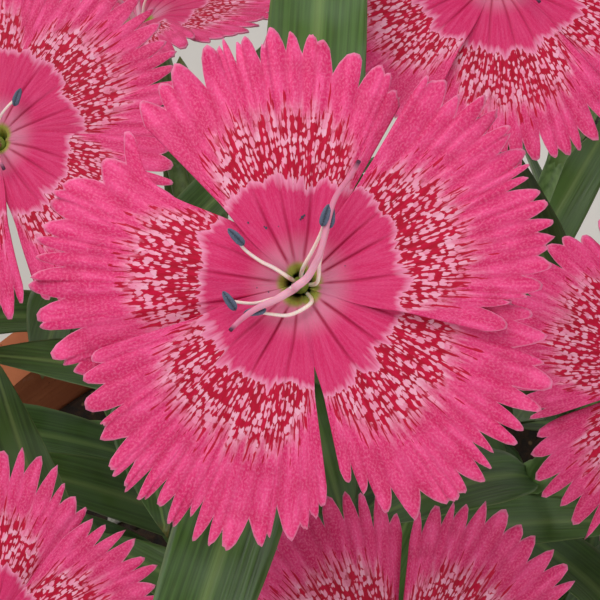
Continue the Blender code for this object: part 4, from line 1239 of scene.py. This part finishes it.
def add_bud(bm, branch):
    """Adds a side branch with its bud."""
    line = bud_line(branch)
    tube(bm, line, lambda share: BRANCH_RADIUS, 10, 12, STEM)
    tip, way = line[0](1), line[1](1)
    place = Matrix.Translation(tip + way * 0.62 * BUD_LENGTH) @ way.to_track_quat("Z", "Y").to_matrix().to_4x4()
    long = 0.7 * BUD_LENGTH
    wide = BUD_RADIUS * 0.95
    add_calyx(bm, place, long, wide, -1.2 * MM, 1.6 * MM)
    add_scales(bm, place, long, wide, 0.5, 0.6)

    def roll(p):
        around = math.atan2(p.y, p.x)
        angle = math.degrees(around) + 150 * p.z
        ridge = 1 + 0.14 * math.cos(3 * around)
        radius = (wide - 0.4 * MM) * ridge * math.sqrt(max(0, 1 - p.z**1.8))
        spot = compass(angle) * radius + UP * (8 * p.z - 3.4) * MM
        return place @ spot, (angle / 10, 17 + 2 * p.z, branch.stem)

    prism(bm, 24, 16, roll, PETAL_TIP)


print("buds to come:", len(BUDS))

# %% [markdown]
# Each leafy stem is one piece, like the CAD solid that it stands for. The stem swells at each pair of leaves, and
# goes on below the soil as a root.

# %% Make the leafy stems
CALYX_RADIUS = 2.5 * MM
CALYX_TOOTH_TIP = 1.2 * MM
CALYX_TOOTH_ROOT = 4.2 * MM
ROOT_DEPTH = 20 * MM
ROOT_TIP_RADIUS = 0.7 * MM
ROOT_WIDENS = 0.9 * MM
SHOOT_RADIUS = 1.3 * MM
SHOOT_TAPER = 0.5 * MM
KNOT = 1.3 * MM


def knotted(radius, shares, length):
    """A radius that swells at the pairs of leaves."""
    return lambda share: radius(share) * (1 + 0.5 * sum(bell((share - at) * length, KNOT) for at in shares))


for index, stem in enumerate(STEMS):
    bm = new_shape()
    line = stem_line(index)
    low = foot(index)
    tube(bm, line, knotted(stem_radius, leaf_pairs(stem), (line[0](1) - low).length), 14, 90, STEM)
    root = straight(low - UP * ROOT_DEPTH, low)
    tube(bm, root, lambda share: ROOT_TIP_RADIUS + ROOT_WIDENS * share, 10, 4, STEM)
    for number, leaf in enumerate(LEAVES[index]):
        add_leaf(bm, leaf, 40 * index + number)
    place = bloom_frame(index)
    add_calyx(bm, place, CALYX_LENGTH, CALYX_RADIUS, CALYX_TOOTH_TIP, CALYX_TOOTH_ROOT)
    add_scales(bm, place, CALYX_LENGTH, CALYX_RADIUS, 0.42, 0.50)
    for branch in BUDS:
        if branch.stem == index:
            add_bud(bm, branch)
    for branch in SHOOTS:
        if branch.stem == index:
            radius = knotted(lambda share: SHOOT_RADIUS - SHOOT_TAPER * share, SHOOT_PAIRS, branch.length * MM)
            tube(bm, shoot_line(branch), radius, 12, 50, STEM)
    bmesh.ops.recalc_face_normals(bm, faces=bm.faces)
    name = f"leafy_stem_{index + 1:02d}"
    piece("fine_" + name, bm, [stem_skin, leaf_skin, calyx_skin, velvet], name)
print("leafy stems:", len(STEMS))

# %% [markdown]
# ## Stamens and styles
# A stamen is a pale filament with an anther, two slate-coloured sacs of pollen, on its end. Between them stand two
# pink styles with dark tips, on a green ovary deep in the throat. The `grain` mark's second part runs from a tube's
# foot to its tip.

# %% The filament's skin
# Gives the eye a waxy, nearly white thread that lets some light through, greener near its foot. Its cells are
# 0.03 mm wide, and drawn four times as coarse to show.
filament_skin, tree, shader, grain = new_material(
    "stamen filament, translucent", "grain", Roughness=0.4, Subsurface_Weight=0.3, Subsurface_Scale=0.5 * MM
)
way = node(tree, "SeparateXYZ", grain).outputs["Y"]
here = node(tree, "TexCoord").outputs["Object"]
cell = node(tree, "TexNoise", Vector=here, Scale=1 / (0.12 * MM), Detail=2)
fresh = node(tree, "MapRange", way, 0.1, 0.45, 0.5, 0)
pale = node(tree, "Mix", Factor=cell, A="#ecccc9", B="#fbeae2", **RGBA)
pale = node(tree, "Mix", Factor=fresh, A=pale, B="#dbe0b4", **RGBA)
finish_skin(tree, shader, pale, cell, (0.35, 0.5), 0.02 * MM, 0.5)

# %% [markdown]
# A style is felted with down, which spreads its shine, and it lets less light through than a filament.

# %% The style's skin
# Gives the eye a soft pink felt that deepens to a dark tip. Its down is drawn at 0.08 mm, twice the real size.
style_skin, tree, shader, grain = new_material(
    "style, downy", "grain", Roughness=0.55, Subsurface_Weight=0.2, Subsurface_Scale=0.4 * MM
)
way = node(tree, "SeparateXYZ", grain).outputs["Y"]
here = node(tree, "TexCoord").outputs["Object"]
down = node(tree, "TexNoise", Vector=here, Scale=1 / (0.08 * MM))
deep = node(tree, "MapRange", way, 0.35, 0.8)
dark = node(tree, "MapRange", way, 0.9, 0.98)
pink = node(tree, "Mix", Factor=deep, A="#e8aabf", B="#d87a9c", **RGBA)
pink = node(tree, "Mix", Factor=dark, A=pink, B="#4d2040", **RGBA)
finish_skin(tree, shader, pink, down, (0.48, 0.68), 0.03 * MM, 0.5)

# %% [markdown]
# The ovary is smooth and juicy, so it shines more than the rest of the throat.

# %% The ovary's skin
# Gives the eye a smooth, fresh green with a soft shine, clouded every 0.3 mm
ovary_skin, tree, shader = new_material("ovary, smooth green", Specular_IOR_Level=0.4)
here = node(tree, "TexCoord").outputs["Object"]
cell = node(tree, "TexNoise", Vector=here, Scale=1 / (0.3 * MM), Detail=2)
green = node(tree, "Mix", Factor=cell, A="#7d9132", B="#a3b156", **RGBA)
finish_skin(tree, shader, green, cell, (0.4, 0.6), 0.03 * MM, 0.5)

# %% [markdown]
# Pollen scatters the light like dust. An anther's `look` mark holds how far out on its two lobes. With it, painted
# shade darkens the slits between them and a painted highlight lies out on the lobes.

# %% The anther's skin
# Gives the eye a dusty slate blue, with painted shade in the slits, a painted highlight on the lobes, and dots of
# pale pollen. A grain of pollen is 0.04 mm wide, and it is drawn nearly twice as coarse.
anther_skin, tree, shader, look = new_material("anther, slate pollen sacs", "look", Roughness=0.75)
ridge = node(tree, "SeparateXYZ", look).outputs["X"]
here = node(tree, "TexCoord").outputs["Object"]
grit = node(tree, "TexNoise", Vector=here, Scale=1 / (0.07 * MM), Detail=2)
pollen = node(tree, "MapRange", grit, 0.55, 0.70, 0, 0.3)
# Painted shade in the slits between the lobes, and a painted highlight out on them
slate = node(tree, "Mix", Factor=ridge, A="#1d2334", B="#5f6b85", **RGBA)
slate = node(tree, "Mix", Factor=pollen, A=slate, B="#a9adc0", **RGBA)
finish_skin(tree, shader, slate, grit, (0.6, 0.85), 0.08 * MM, 0.8)

# %% [markdown]
# In the sharp bloom the stamens and the two styles lie as in the photo: each has a few places to pass, in mm right and
# up from the throat, and the height of its tip over the bloom's plane. Elsewhere each goes straight up through the
# throat and bends over to its tip.

# %% Where stamens and styles lie in front
FRONT_FILAMENTS = (
    (((-0.9, 0.6), (-2.0, 1.3), (-3.0, 1.8), (-4.2, 2.7), (-4.8, 3.6)), 2.2, 135),
    (((0.2, 1.2), (1.0, 2.7), (1.6, 4.0), (1.9, 5.2)), 3.0, 72),
    (((1.3, 0.2), (1.5, 1.8), (1.9, 3.4), (2.3, 5.1)), 2.4, 85),
    (((-0.6, -0.2), (-1.4, -0.8), (-2.4, -1.15), (-3.6, -1.4), (-5.3, -1.2)), 2.4, 125),
    (((0.9, -1.2), (0.1, -1.9), (-1.0, -2.3), (-2.2, -2.2), (-3.4, -2.0)), 1.7, 190),
)
FRONT_STYLES = (
    (((-0.4, -0.2), (0.5, 0.5), (1.1, 1.5), (1.6, 2.7), (2.5, 6.2), (3.8, 8.2), (4.4, 9.2)), 4.4),
    (((-0.8, -0.5), (-1.8, -1.1), (-3.3, -1.8), (-4.4, -2.6), (-5.2, -3.4)), 4.0),
)


print("filaments in front:", len(FRONT_FILAMENTS), "and styles:", len(FRONT_STYLES))

# %% [markdown]
# A curve through given points bends at each of them only as much as it must, and a cubic one is enough for the rest.

# %% Curves for them
def through(points):
    """A smooth curve through points."""
    last = len(points) - 1

    def point(t):
        k = min(int(t * last), last - 1)
        s = t * last - k
        a, b, c, d = (points[min(max(k + step, 0), last)] for step in (-1, 0, 1, 2))
        cubic = (b * 3 - a - c * 3 + d) * s**3
        return ((c - a) * s + (a * 2 - b * 5 + c * 4 - d) * s * s + cubic) / 2 + b

    def heading(t):
        return (point(min(1, t + 0.02)) - point(max(0, t - 0.02))).normalized()

    return point, heading


def lying(places, height, place):
    """A curve from deep in the claws through the places, rising to a height."""
    spots = [Vector((places[0][0] / 3, places[0][1] / 3, -3)) * MM]
    for k, (x, y) in enumerate(places):
        share = (k + 0.4) / (len(places) - 0.6)
        spots.append(Vector((x, y, height * share**0.8)) * MM)
    return through([place @ spot for spot in spots])


def bent_over(tip, place):
    """From inside the claws straight up through the throat, then over to the tip."""
    aside = Vector((tip[0], tip[1], 0)) * MM
    start = aside.normalized() * 0.2 * MM
    high = UP * tip[2] * MM
    handles = (start - UP * 3 * MM, start + UP * 0.8 * MM, start + high * 1.3 + aside * 0.3, aside + high)
    return bezier([place @ handle for handle in handles])


def tips_of(index):
    """The tips of a bloom's stamen, and of its two styles."""
    draw = random.Random(700 + index)
    tips = []
    for k in range(3):
        far = compass(120 * k + draw.uniform(-25, 25)) * draw.uniform(3.2, 5.2)
        tips.append((far.x, far.y, draw.uniform(2.2, 3.4)))
    return tips[:1], tips[1:]


print("a random stamen ends at:", *(round(part, 1) for part in tips_of(1)[0][0]), "mm")

# %% [markdown]
# An anther is a prism whose section has two lobes, with a slit between, pinched to a point at both ends. A few crumbs
# of its pollen have dropped on the front bloom's eye, and the nearest point of the petals says where each lies.

# %% Anthers and pollen
FILAMENT, ANTHER, STYLE, OVARY = range(4)
ANTHER_LONG = 1.8 * MM
ANTHER_WIDE = 0.36 * MM
ANTHER_ARCH = 0.15 * MM
# In mm right and up from the throat, and the size of the crumb
POLLEN = (
    (0.2, 5.1, 0.12), (0.35, 5.25, 0.09), (0.05, 4.95, 0.08), (-2.5, 4.3, 0.1), (-2.65, 4.4, 0.06),
    (-3.9, 4.7, 0.08), (-1.6, 4.4, 0.05), (-3.1, -0.2, 0.05), (3.3, 1.4, 0.05), (-2.2, -0.3, 0.06),
)


def add_anther(bm, middle, way, up, number):
    """Adds an anther across the end of its filament."""
    flank = way.cross(up).normalized()
    rise = flank.cross(way)

    def bend(p):
        share = 2 * p.z - 1
        turn = math.atan2(p.y, p.x)
        lobe = 0.5 + 0.5 * abs(math.cos(turn)) ** 0.8 - 0.1 * bell(turn % math.pi, 0.25)
        radius = ANTHER_WIDE * lobe * max(0, 1 - abs(share) ** 2.6) ** 0.6 * (1 - 0.2 * share)
        grit = 1 + 0.12 * noise.noise(Vector((p.x * 3, p.y * 3, p.z * 9 + number)))
        arch = rise * ANTHER_ARCH * (1 - share * share)
        spot = middle + way * share * ANTHER_LONG / 2 + (flank * p.x + rise * 0.8 * p.y) * radius * grit + arch
        return spot, (0, 0, number), (abs(p.x), 0, 0)

    prism(bm, 20, 14, bend, ANTHER)


def add_pollen(bm, place, x, y, size, number):
    """Adds a crumb of pollen on the front petals."""
    skin = bpy.data.objects["fringed_petals_01"]
    spot = skin.closest_point_on_mesh(place @ (Vector((x, y, 1)) * MM))[1]

    def bend(p):
        rough = 1 + 0.5 * noise.noise(p * 1.5 + UP * number)
        return spot + p * size * rough * MM, (0, 0, 0), (0.3, 0, 0)

    ball(bm, bend, ANTHER)


print("crumbs of pollen:", len(POLLEN))

# %% [markdown]
# Each bloom's stamens, styles and ovary are one piece. The front bloom's have more sides and rings than the others'.

# %% Make the stamens
FILAMENT_RADIUS = 0.18 * MM
STYLE_RADIUS = 0.36 * MM
OVARY_RADIUS = 0.4 * MM
ANTHER_LIFT = 0.2 * MM


def slim(radius, taper):
    """A radius that shrinks along the way."""
    return lambda share: radius * (1 - taper * share)


for index in range(len(STEMS)):
    place = bloom_frame(index)
    axis = (place.to_3x3() @ UP).normalized()
    bm = new_shape()
    ovary = straight(place @ (UP * -9 * MM), place @ (UP * -1.5 * MM))
    tube(bm, ovary, slim(OVARY_RADIUS, -0.7), 16, 6, OVARY)
    if index == 0:
        stamens = [(lying(places, height, place), turned) for places, height, turned in FRONT_FILAMENTS]
        styles = [lying(places, height, place) for places, height in FRONT_STYLES]
        sizes, lift = (10, 40, 12, 60), axis * ANTHER_LIFT
        for number, crumb in enumerate(POLLEN):
            add_pollen(bm, place, *crumb, number)
    else:
        anthers, tips = tips_of(index)
        stamens = [(bent_over(tip, place), 40 * index) for tip in anthers]
        styles = [bent_over(tip, place) for tip in tips]
        sizes, lift = (8, 14, 8, 16), axis * 0
    for number, (line, turned) in enumerate(stamens):
        tube(bm, line, slim(FILAMENT_RADIUS, 0.35), *sizes[:2], FILAMENT)
        add_anther(bm, line[0](1) + lift, place.to_3x3() @ compass(turned), axis, 10 * index + number)
    for line in styles:
        tube(bm, line, slim(STYLE_RADIUS, 0.55), *sizes[2:], STYLE)
    bmesh.ops.recalc_face_normals(bm, faces=bm.faces)
    name = f"stamens_{index + 1:02d}"
    piece("fine_" + name, bm, [filament_skin, anther_skin, style_skin, ovary_skin], name)
print("blooms with stamens:", len(STEMS))

# %% [markdown]
# ## Soil
# Potting soil is peat in crumbs, with bits of bark and white grains of perlite, which is blown volcanic glass.

# %% The soil's skin
# Gives the eye a dark, dull mass of 1.4 mm crumbs that dry paler, with light flecks of fibre 2.4 mm apart
soil_skin, tree, shader = new_material("potting soil, damp", Roughness=0.92)
here = node(tree, "TexCoord").outputs["Object"]
lump = node(tree, "TexNoise", Vector=here, Scale=1 / (1.4 * MM), Detail=4, Roughness=0.65)
dry = node(tree, "MapRange", lump, 0.38, 0.72)
fleck = node(tree, "TexVoronoi", Vector=here, Scale=1 / (2.4 * MM))
fleck = node(tree, "MapRange", fleck, 0.16, 0.08, 0, 0.7)
brown = node(tree, "Mix", Factor=dry, A="#1a110b", B="#4b3627", **RGBA)
brown = node(tree, "Mix", Factor=fleck, A=brown, B="#8b6d4c", **RGBA)
finish_skin(tree, shader, brown, lump, (0.72, 0.98), 0.5 * MM, 0.8)

# %% [markdown]
# Bark splits along its fibres, so its pattern is stretched five times.

# %% Bark
# Gives the eye a dry, split brown, with a grain 0.4 mm wide along it
bark_skin, tree, shader = new_material("bark chip", Roughness=0.85)
here = node(tree, "TexCoord").outputs["Object"]
fibre_at = node(tree, "VectorMath", here, (1 / (0.4 * MM), 1 / (2 * MM), 1 / (2 * MM)), **TIMES)
fibre = node(tree, "TexNoise", Vector=fibre_at, Scale=1, Detail=3)
brown = node(tree, "Mix", Factor=fibre, A="#2c1a10", B="#8a5a38", **RGBA)
finish_skin(tree, shader, brown, fibre, (0.75, 0.95), 0.2 * MM, 0.5)

# %% [markdown]
# Perlite is a foam of glass, and a Voronoi pattern makes its open pores.

# %% Perlite
# Gives the eye a chalky white with pores 0.4 mm apart, grey with painted shade
perlite_skin, tree, shader = new_material("perlite grain, porous", Roughness=0.9)
here = node(tree, "TexCoord").outputs["Object"]
pore = node(tree, "TexVoronoi", Vector=here, Scale=1 / (0.4 * MM))
# Painted shade greys the pores
white = node(tree, "Mix", Factor=pore, A="#a8a297", B="#ece8df", **RGBA)
finish_skin(tree, shader, white, pore, (0.85, 0.95), 0.15 * MM, 0.5, span=(0, 1))

# %% [markdown]
# A Displace modifier could roughen a disc, but the soil also has a side and a bottom, and its height is needed again
# for what lies on it. So one sheet runs from the middle of the top out to its edge, down the side, and back to the
# middle of the bottom, with lumps of three sizes on top.

# %% The body of the soil
SOIL_COLUMNS = 150
SOIL_ROWS = 64
SOIL_TOP_ROWS = 60
GAP = 0.3 * MM
top_radius = inner_radius(SOIL_TOP) - GAP
bottom_radius = inner_radius(POT_FLOOR) - GAP


def crumbly(x, y):
    """The soil's surface with its crumbs."""
    coarse = noise.noise(Vector((x, y, 0)) / (4.5 * MM))
    fine = noise.noise(Vector((x, y, 5 * MM)) / (1.7 * MM))
    return soil_height(x, y) + (0.7 * coarse + 0.35 * fine) * MM


def soil_path(p):
    """Where a corner of the flat sheet goes."""
    row = round(p.y * SOIL_ROWS)
    way = compass(360 * p.x)
    if row <= SOIL_TOP_ROWS:
        spot = way * top_radius * (row / SOIL_TOP_ROWS) ** 0.8
        spot.z = crumbly(spot.x, spot.y) if row < SOIL_TOP_ROWS else SOIL_TOP
    elif row < SOIL_ROWS:
        share = (row - SOIL_TOP_ROWS) / (SOIL_ROWS - 1 - SOIL_TOP_ROWS)
        spot = way * (top_radius + (bottom_radius - top_radius) * share)
        spot.z = SOIL_TOP + (POT_FLOOR + GAP - SOIL_TOP) * share
    else:
        spot = UP * (POT_FLOOR + GAP)
    return [spot]


soil = new_shape()
sheet(soil, SOIL_COLUMNS, SOIL_ROWS, soil_path)
bmesh.ops.reverse_faces(soil, faces=soil.faces)
print("soil's top is", round(2 * top_radius / MM), "mm across")

# %% [markdown]
# Loose crumbs, bark and perlite lie on it. Each is a small ball that is stretched, turned and made lumpy, then set a
# little into the surface.

# %% Strew crumbs, bark and perlite
CRUMB, BARK, PERLITE = range(3)


def strew(seed, count, small, large, shape, surface):
    """Strews grains from small to large over the soil."""
    draw = random.Random(seed)
    for k in range(count):
        size = draw.uniform(small, large)
        spot = compass(draw.uniform(0, 360)) * (top_radius - 1.2 * large) * math.sqrt(draw.random())
        spot.z = crumbly(spot.x, spot.y) + 0.3 * size * shape.z
        turn = Euler([draw.uniform(-0.4, 0.4), draw.uniform(-0.4, 0.4), draw.uniform(0, math.tau)]).to_matrix()

        def lump(p):
            rough = 1 + 0.45 * noise.noise(p * 1.4 + Vector((k, seed, 0)))
            return [spot + turn @ (p * shape) * size * rough]

        ball(soil, lump, surface)


strew(1, 420, 0.5 * MM, 1.5 * MM, Vector((1, 0.85, 0.7)), CRUMB)
strew(2, 34, 1.5 * MM, 3.2 * MM, Vector((1, 0.42, 0.2)), BARK)
strew(3, 46, 0.5 * MM, 1.1 * MM, Vector((1, 0.9, 0.8)), PERLITE)
made = piece("crumbled_soil", soil, [soil_skin, bark_skin, perlite_skin], "soil")
print("soil corners:", len(made.data.vertices))

# %% [markdown]
# ## Pot
# A plain clay pot is thrown on a wheel and fired without glaze. Its colour clouds with the firing, throwing leaves
# fine rings, and lime from the water blooms white, most near the foot.

# %% Terracotta
# Gives the eye a dry, dusty orange with no shine, and pits darkened with painted shade. Its rings are 1.1 mm
# apart, its pits 1.5 mm and its sand 0.6 mm.
THROWN = (1 / (80 * MM), 1 / (80 * MM), 1 / (1.1 * MM))

clay_skin, tree, shader = new_material("terracotta, unglazed", Roughness=0.85)
here = node(tree, "TexCoord").outputs["Object"]
up_m = node(tree, "SeparateXYZ", here).outputs["Z"]
cloud = node(tree, "TexNoise", Vector=here, Scale=1 / (22 * MM), Detail=5, Roughness=0.6)
fired = node(tree, "MapRange", cloud, 0.35, 0.65)
ring_at = node(tree, "VectorMath", here, THROWN, **TIMES)
ring = node(tree, "TexNoise", Vector=ring_at, Scale=1, Detail=3)
ringed = node(tree, "MapRange", ring, 0.4, 0.7, 0, 0.3)
lime = node(tree, "TexNoise", Vector=here, Scale=1 / (14 * MM), Detail=8, Roughness=0.7)
low_down = node(tree, "MapRange", up_m, 0, 55 * MM, 0.1, 0)
lime = node(tree, "Math", lime, low_down, **PLUS)
lime = node(tree, "MapRange", lime, 0.58, 0.74, 0, 0.55, **SMOOTH)
pit = node(tree, "TexVoronoi", Vector=here, Scale=1 / (1.5 * MM))
pit = node(tree, "MapRange", pit, 0.05, 0.16)
clay = node(tree, "Mix", Factor=fired, A="#a3532f", B="#c4744c", **RGBA)
for share, colour in ((ringed, "#8c4527"), (lime, "#dcc8b6")):
    clay = node(tree, "Mix", Factor=share, A=clay, B=colour, **RGBA)
# Painted shade darkens the pits
clay = node(tree, "Mix", Factor=pit, A="#7a3b22", B=clay, **RGBA)
sand = node(tree, "TexNoise", Vector=here, Scale=1 / (0.6 * MM), Detail=3)
height = node(tree, "Math", sand, 0.35, ring, **TIMES_PLUS)
height = node(tree, "Math", pit, 0.3, height, **TIMES_PLUS)
finish_skin(tree, shader, clay, cloud, (0.78, 0.95), 0.3 * MM, 0.5, height=height)

# %% [markdown]
# As on the wheel, half of the pot's section is drawn and spun round. The wall isn't quite straight, so that its
# highlights waver as on a thrown pot.

# %% Spin the pot
POT_SIDES = 144
POT_RIM_BATTER = 1.5 * MM
SHOULDER = POT_HEIGHT - POT_RIM_HEIGHT
WALL_STEPS = 16


def wall(start, end):
    """Points down a thrown wall."""
    made = []
    for k in range(WALL_STEPS + 1):
        radius, height = (a + (b - a) * k / WALL_STEPS for a, b in zip(start, end))
        made.append((radius + 0.15 * MM * noise.noise(UP * height / (6 * MM)), height))
    return made


profile = [(0, POT_FLOOR), (inner_radius(POT_FLOOR), POT_FLOOR), (inner_radius(POT_HEIGHT), POT_HEIGHT)]
profile += [(POT_RIM_RADIUS, POT_HEIGHT), (POT_RIM_RADIUS - POT_RIM_BATTER, SHOULDER)]
profile += wall((POT_NECK_RADIUS, SHOULDER), (POT_FOOT_RADIUS, 0)) + [(0, 0)]
bm = new_shape()
corners = [bm.verts.new((radius, 0, height)) for radius, height in profile]
edges = [bm.edges.new(pair) for pair in zip(corners, corners[1:])]
bmesh.ops.spin(
    bm, geom=corners + edges, axis=UP, cent=(0, 0, 0), angle=math.tau, steps=POT_SIDES, use_merge=True
)
bmesh.ops.remove_doubles(bm, verts=bm.verts, dist=0.01 * MM)
bmesh.ops.recalc_face_normals(bm, faces=bm.faces)
for face in bm.faces:
    face.smooth = True
pot = piece("thrown_pot", bm, [clay_skin], "pot")
print("corners in the profile:", len(profile))

# %% [markdown]
# Three drain holes are cut with a Boolean, which is applied at once, because the tools that cut are removed. A Bevel
# modifier then rounds every sharp edge, as a wet sponge does.

# %% Drain holes and soft edges
POT_EDGE = 1.3 * MM
DRAIN_RADIUS = 4 * MM
DRAIN_CIRCLE = 20 * MM
DRAINS = 3

drains = []
for k in range(DRAINS):
    bm = bmesh.new()
    low = Matrix.Translation(compass(360 * (k + 0.5) / DRAINS) * DRAIN_CIRCLE)
    size = {"radius1": DRAIN_RADIUS, "radius2": DRAIN_RADIUS, "depth": 6 * POT_FLOOR}
    bmesh.ops.create_cone(bm, cap_ends=True, segments=40, matrix=low, **size)
    drains.append(to_object("drain", bm))
    hole = pot.modifiers.new("hole", "BOOLEAN")
    hole.object = drains[-1]
bpy.context.view_layer.update()
pot.data = bpy.data.meshes.new_from_object(pot.evaluated_get(bpy.context.evaluated_depsgraph_get()))
pot.modifiers.clear()
for drain in drains:
    bpy.data.objects.remove(drain)
rounded = pot.modifiers.new("rounded edges", "BEVEL")
rounded.affect = "EDGES"
rounded.width = POT_EDGE
rounded.profile = 0.5
rounded.material = -1
rounded.segments = 4
rounded.limit_method = "ANGLE"
rounded.angle_limit = math.radians(35)
print("pot corners:", len(pot.data.vertices))

# %% [markdown]
# ## Studio
# A floor of pale card carries the plant. It is far wider than the frame, so that no edge of it shows.

# %% Floor
# Gives the eye a plain pale ground with no shine
floor_skin, *_ = new_material("studio floor, matt card", Roughness=0.9, Base_Color="#e6e2dc")
FLOOR_HALF = 3
bm = bmesh.new()
bmesh.ops.create_grid(bm, x_segments=1, y_segments=1, size=FLOOR_HALF)
floor = to_object("floor", bm, [floor_skin])
print("floor:", 2 * FLOOR_HALF, "m wide")

# %% [markdown]
# A soft key hangs over the front bloom, as under a bright sky, and two soft fills and a grey world let the plant read
# from every side. The Standard view keeps the colours as they are made.

# %% Lights
def softbox(name, place, aim, width, power):
    """A round soft light that the camera doesn't see."""
    light = bpy.data.lights.new(name, "AREA")
    light.shape = "DISK"
    light.size = width
    light.energy = power
    made = bpy.data.objects.new(name, light)
    made.location = place
    made.rotation_euler = (Vector(aim) - Vector(place)).to_track_quat("-Z", "Y").to_euler()
    made.visible_camera = False
    bpy.context.scene.collection.objects.link(made)


softbox("key", (-0.09, 0.04, 0.52), (0, -0.01, 0.2), 0.26, 0.6)
softbox("front fill", (0.5, -0.8, 0.55), (0, 0, 0.1), 0.6, 3.6)
softbox("back fill", (-0.6, 0.6, 0.7), (0, 0, 0.1), 0.6, 2.6)
world = bpy.data.worlds.new("studio")
world.use_nodes = True
sky = world.node_tree.nodes["Background"].inputs
sky["Color"].default_value = tint("#f4f2ef")
sky["Strength"].default_value = 0.36
bpy.context.scene.world = world
bpy.context.scene.view_settings.view_transform = "Standard"
print("lights:", len(bpy.data.lights))

# %% [markdown]
# ## Camera
# The photo looks square on at the front bloom, which spans 526 of its 600 pixels and stands a little high in it. A
# long lens from 20 cm away gives that frame.

# %% Camera
CAMERA_RISE = math.radians(65)
CAMERA_FAR = 200 * MM
FRAME_WIDE = 45.6 * MM
BLOOM_OVER_MIDDLE = 15 / 600 * FRAME_WIDE
SENSOR = 36

back = Vector((0, -math.cos(CAMERA_RISE), math.sin(CAMERA_RISE)))
up = Vector((0, math.sin(CAMERA_RISE), math.cos(CAMERA_RISE)))
lens = bpy.data.cameras.new("camera")
lens.sensor_width = SENSOR
lens.lens = SENSOR * CAMERA_FAR / FRAME_WIDE
lens.clip_start = 0.01
camera = bpy.data.objects.new("camera", lens)
camera.location = bloom_frame(0).translation - up * BLOOM_OVER_MIDDLE + back * CAMERA_FAR
camera.rotation_euler = (-back).to_track_quat("-Z", "Y").to_euler()
bpy.context.scene.collection.objects.link(camera)
bpy.context.scene.camera = camera
print("lens:", round(lens.lens), "mm")
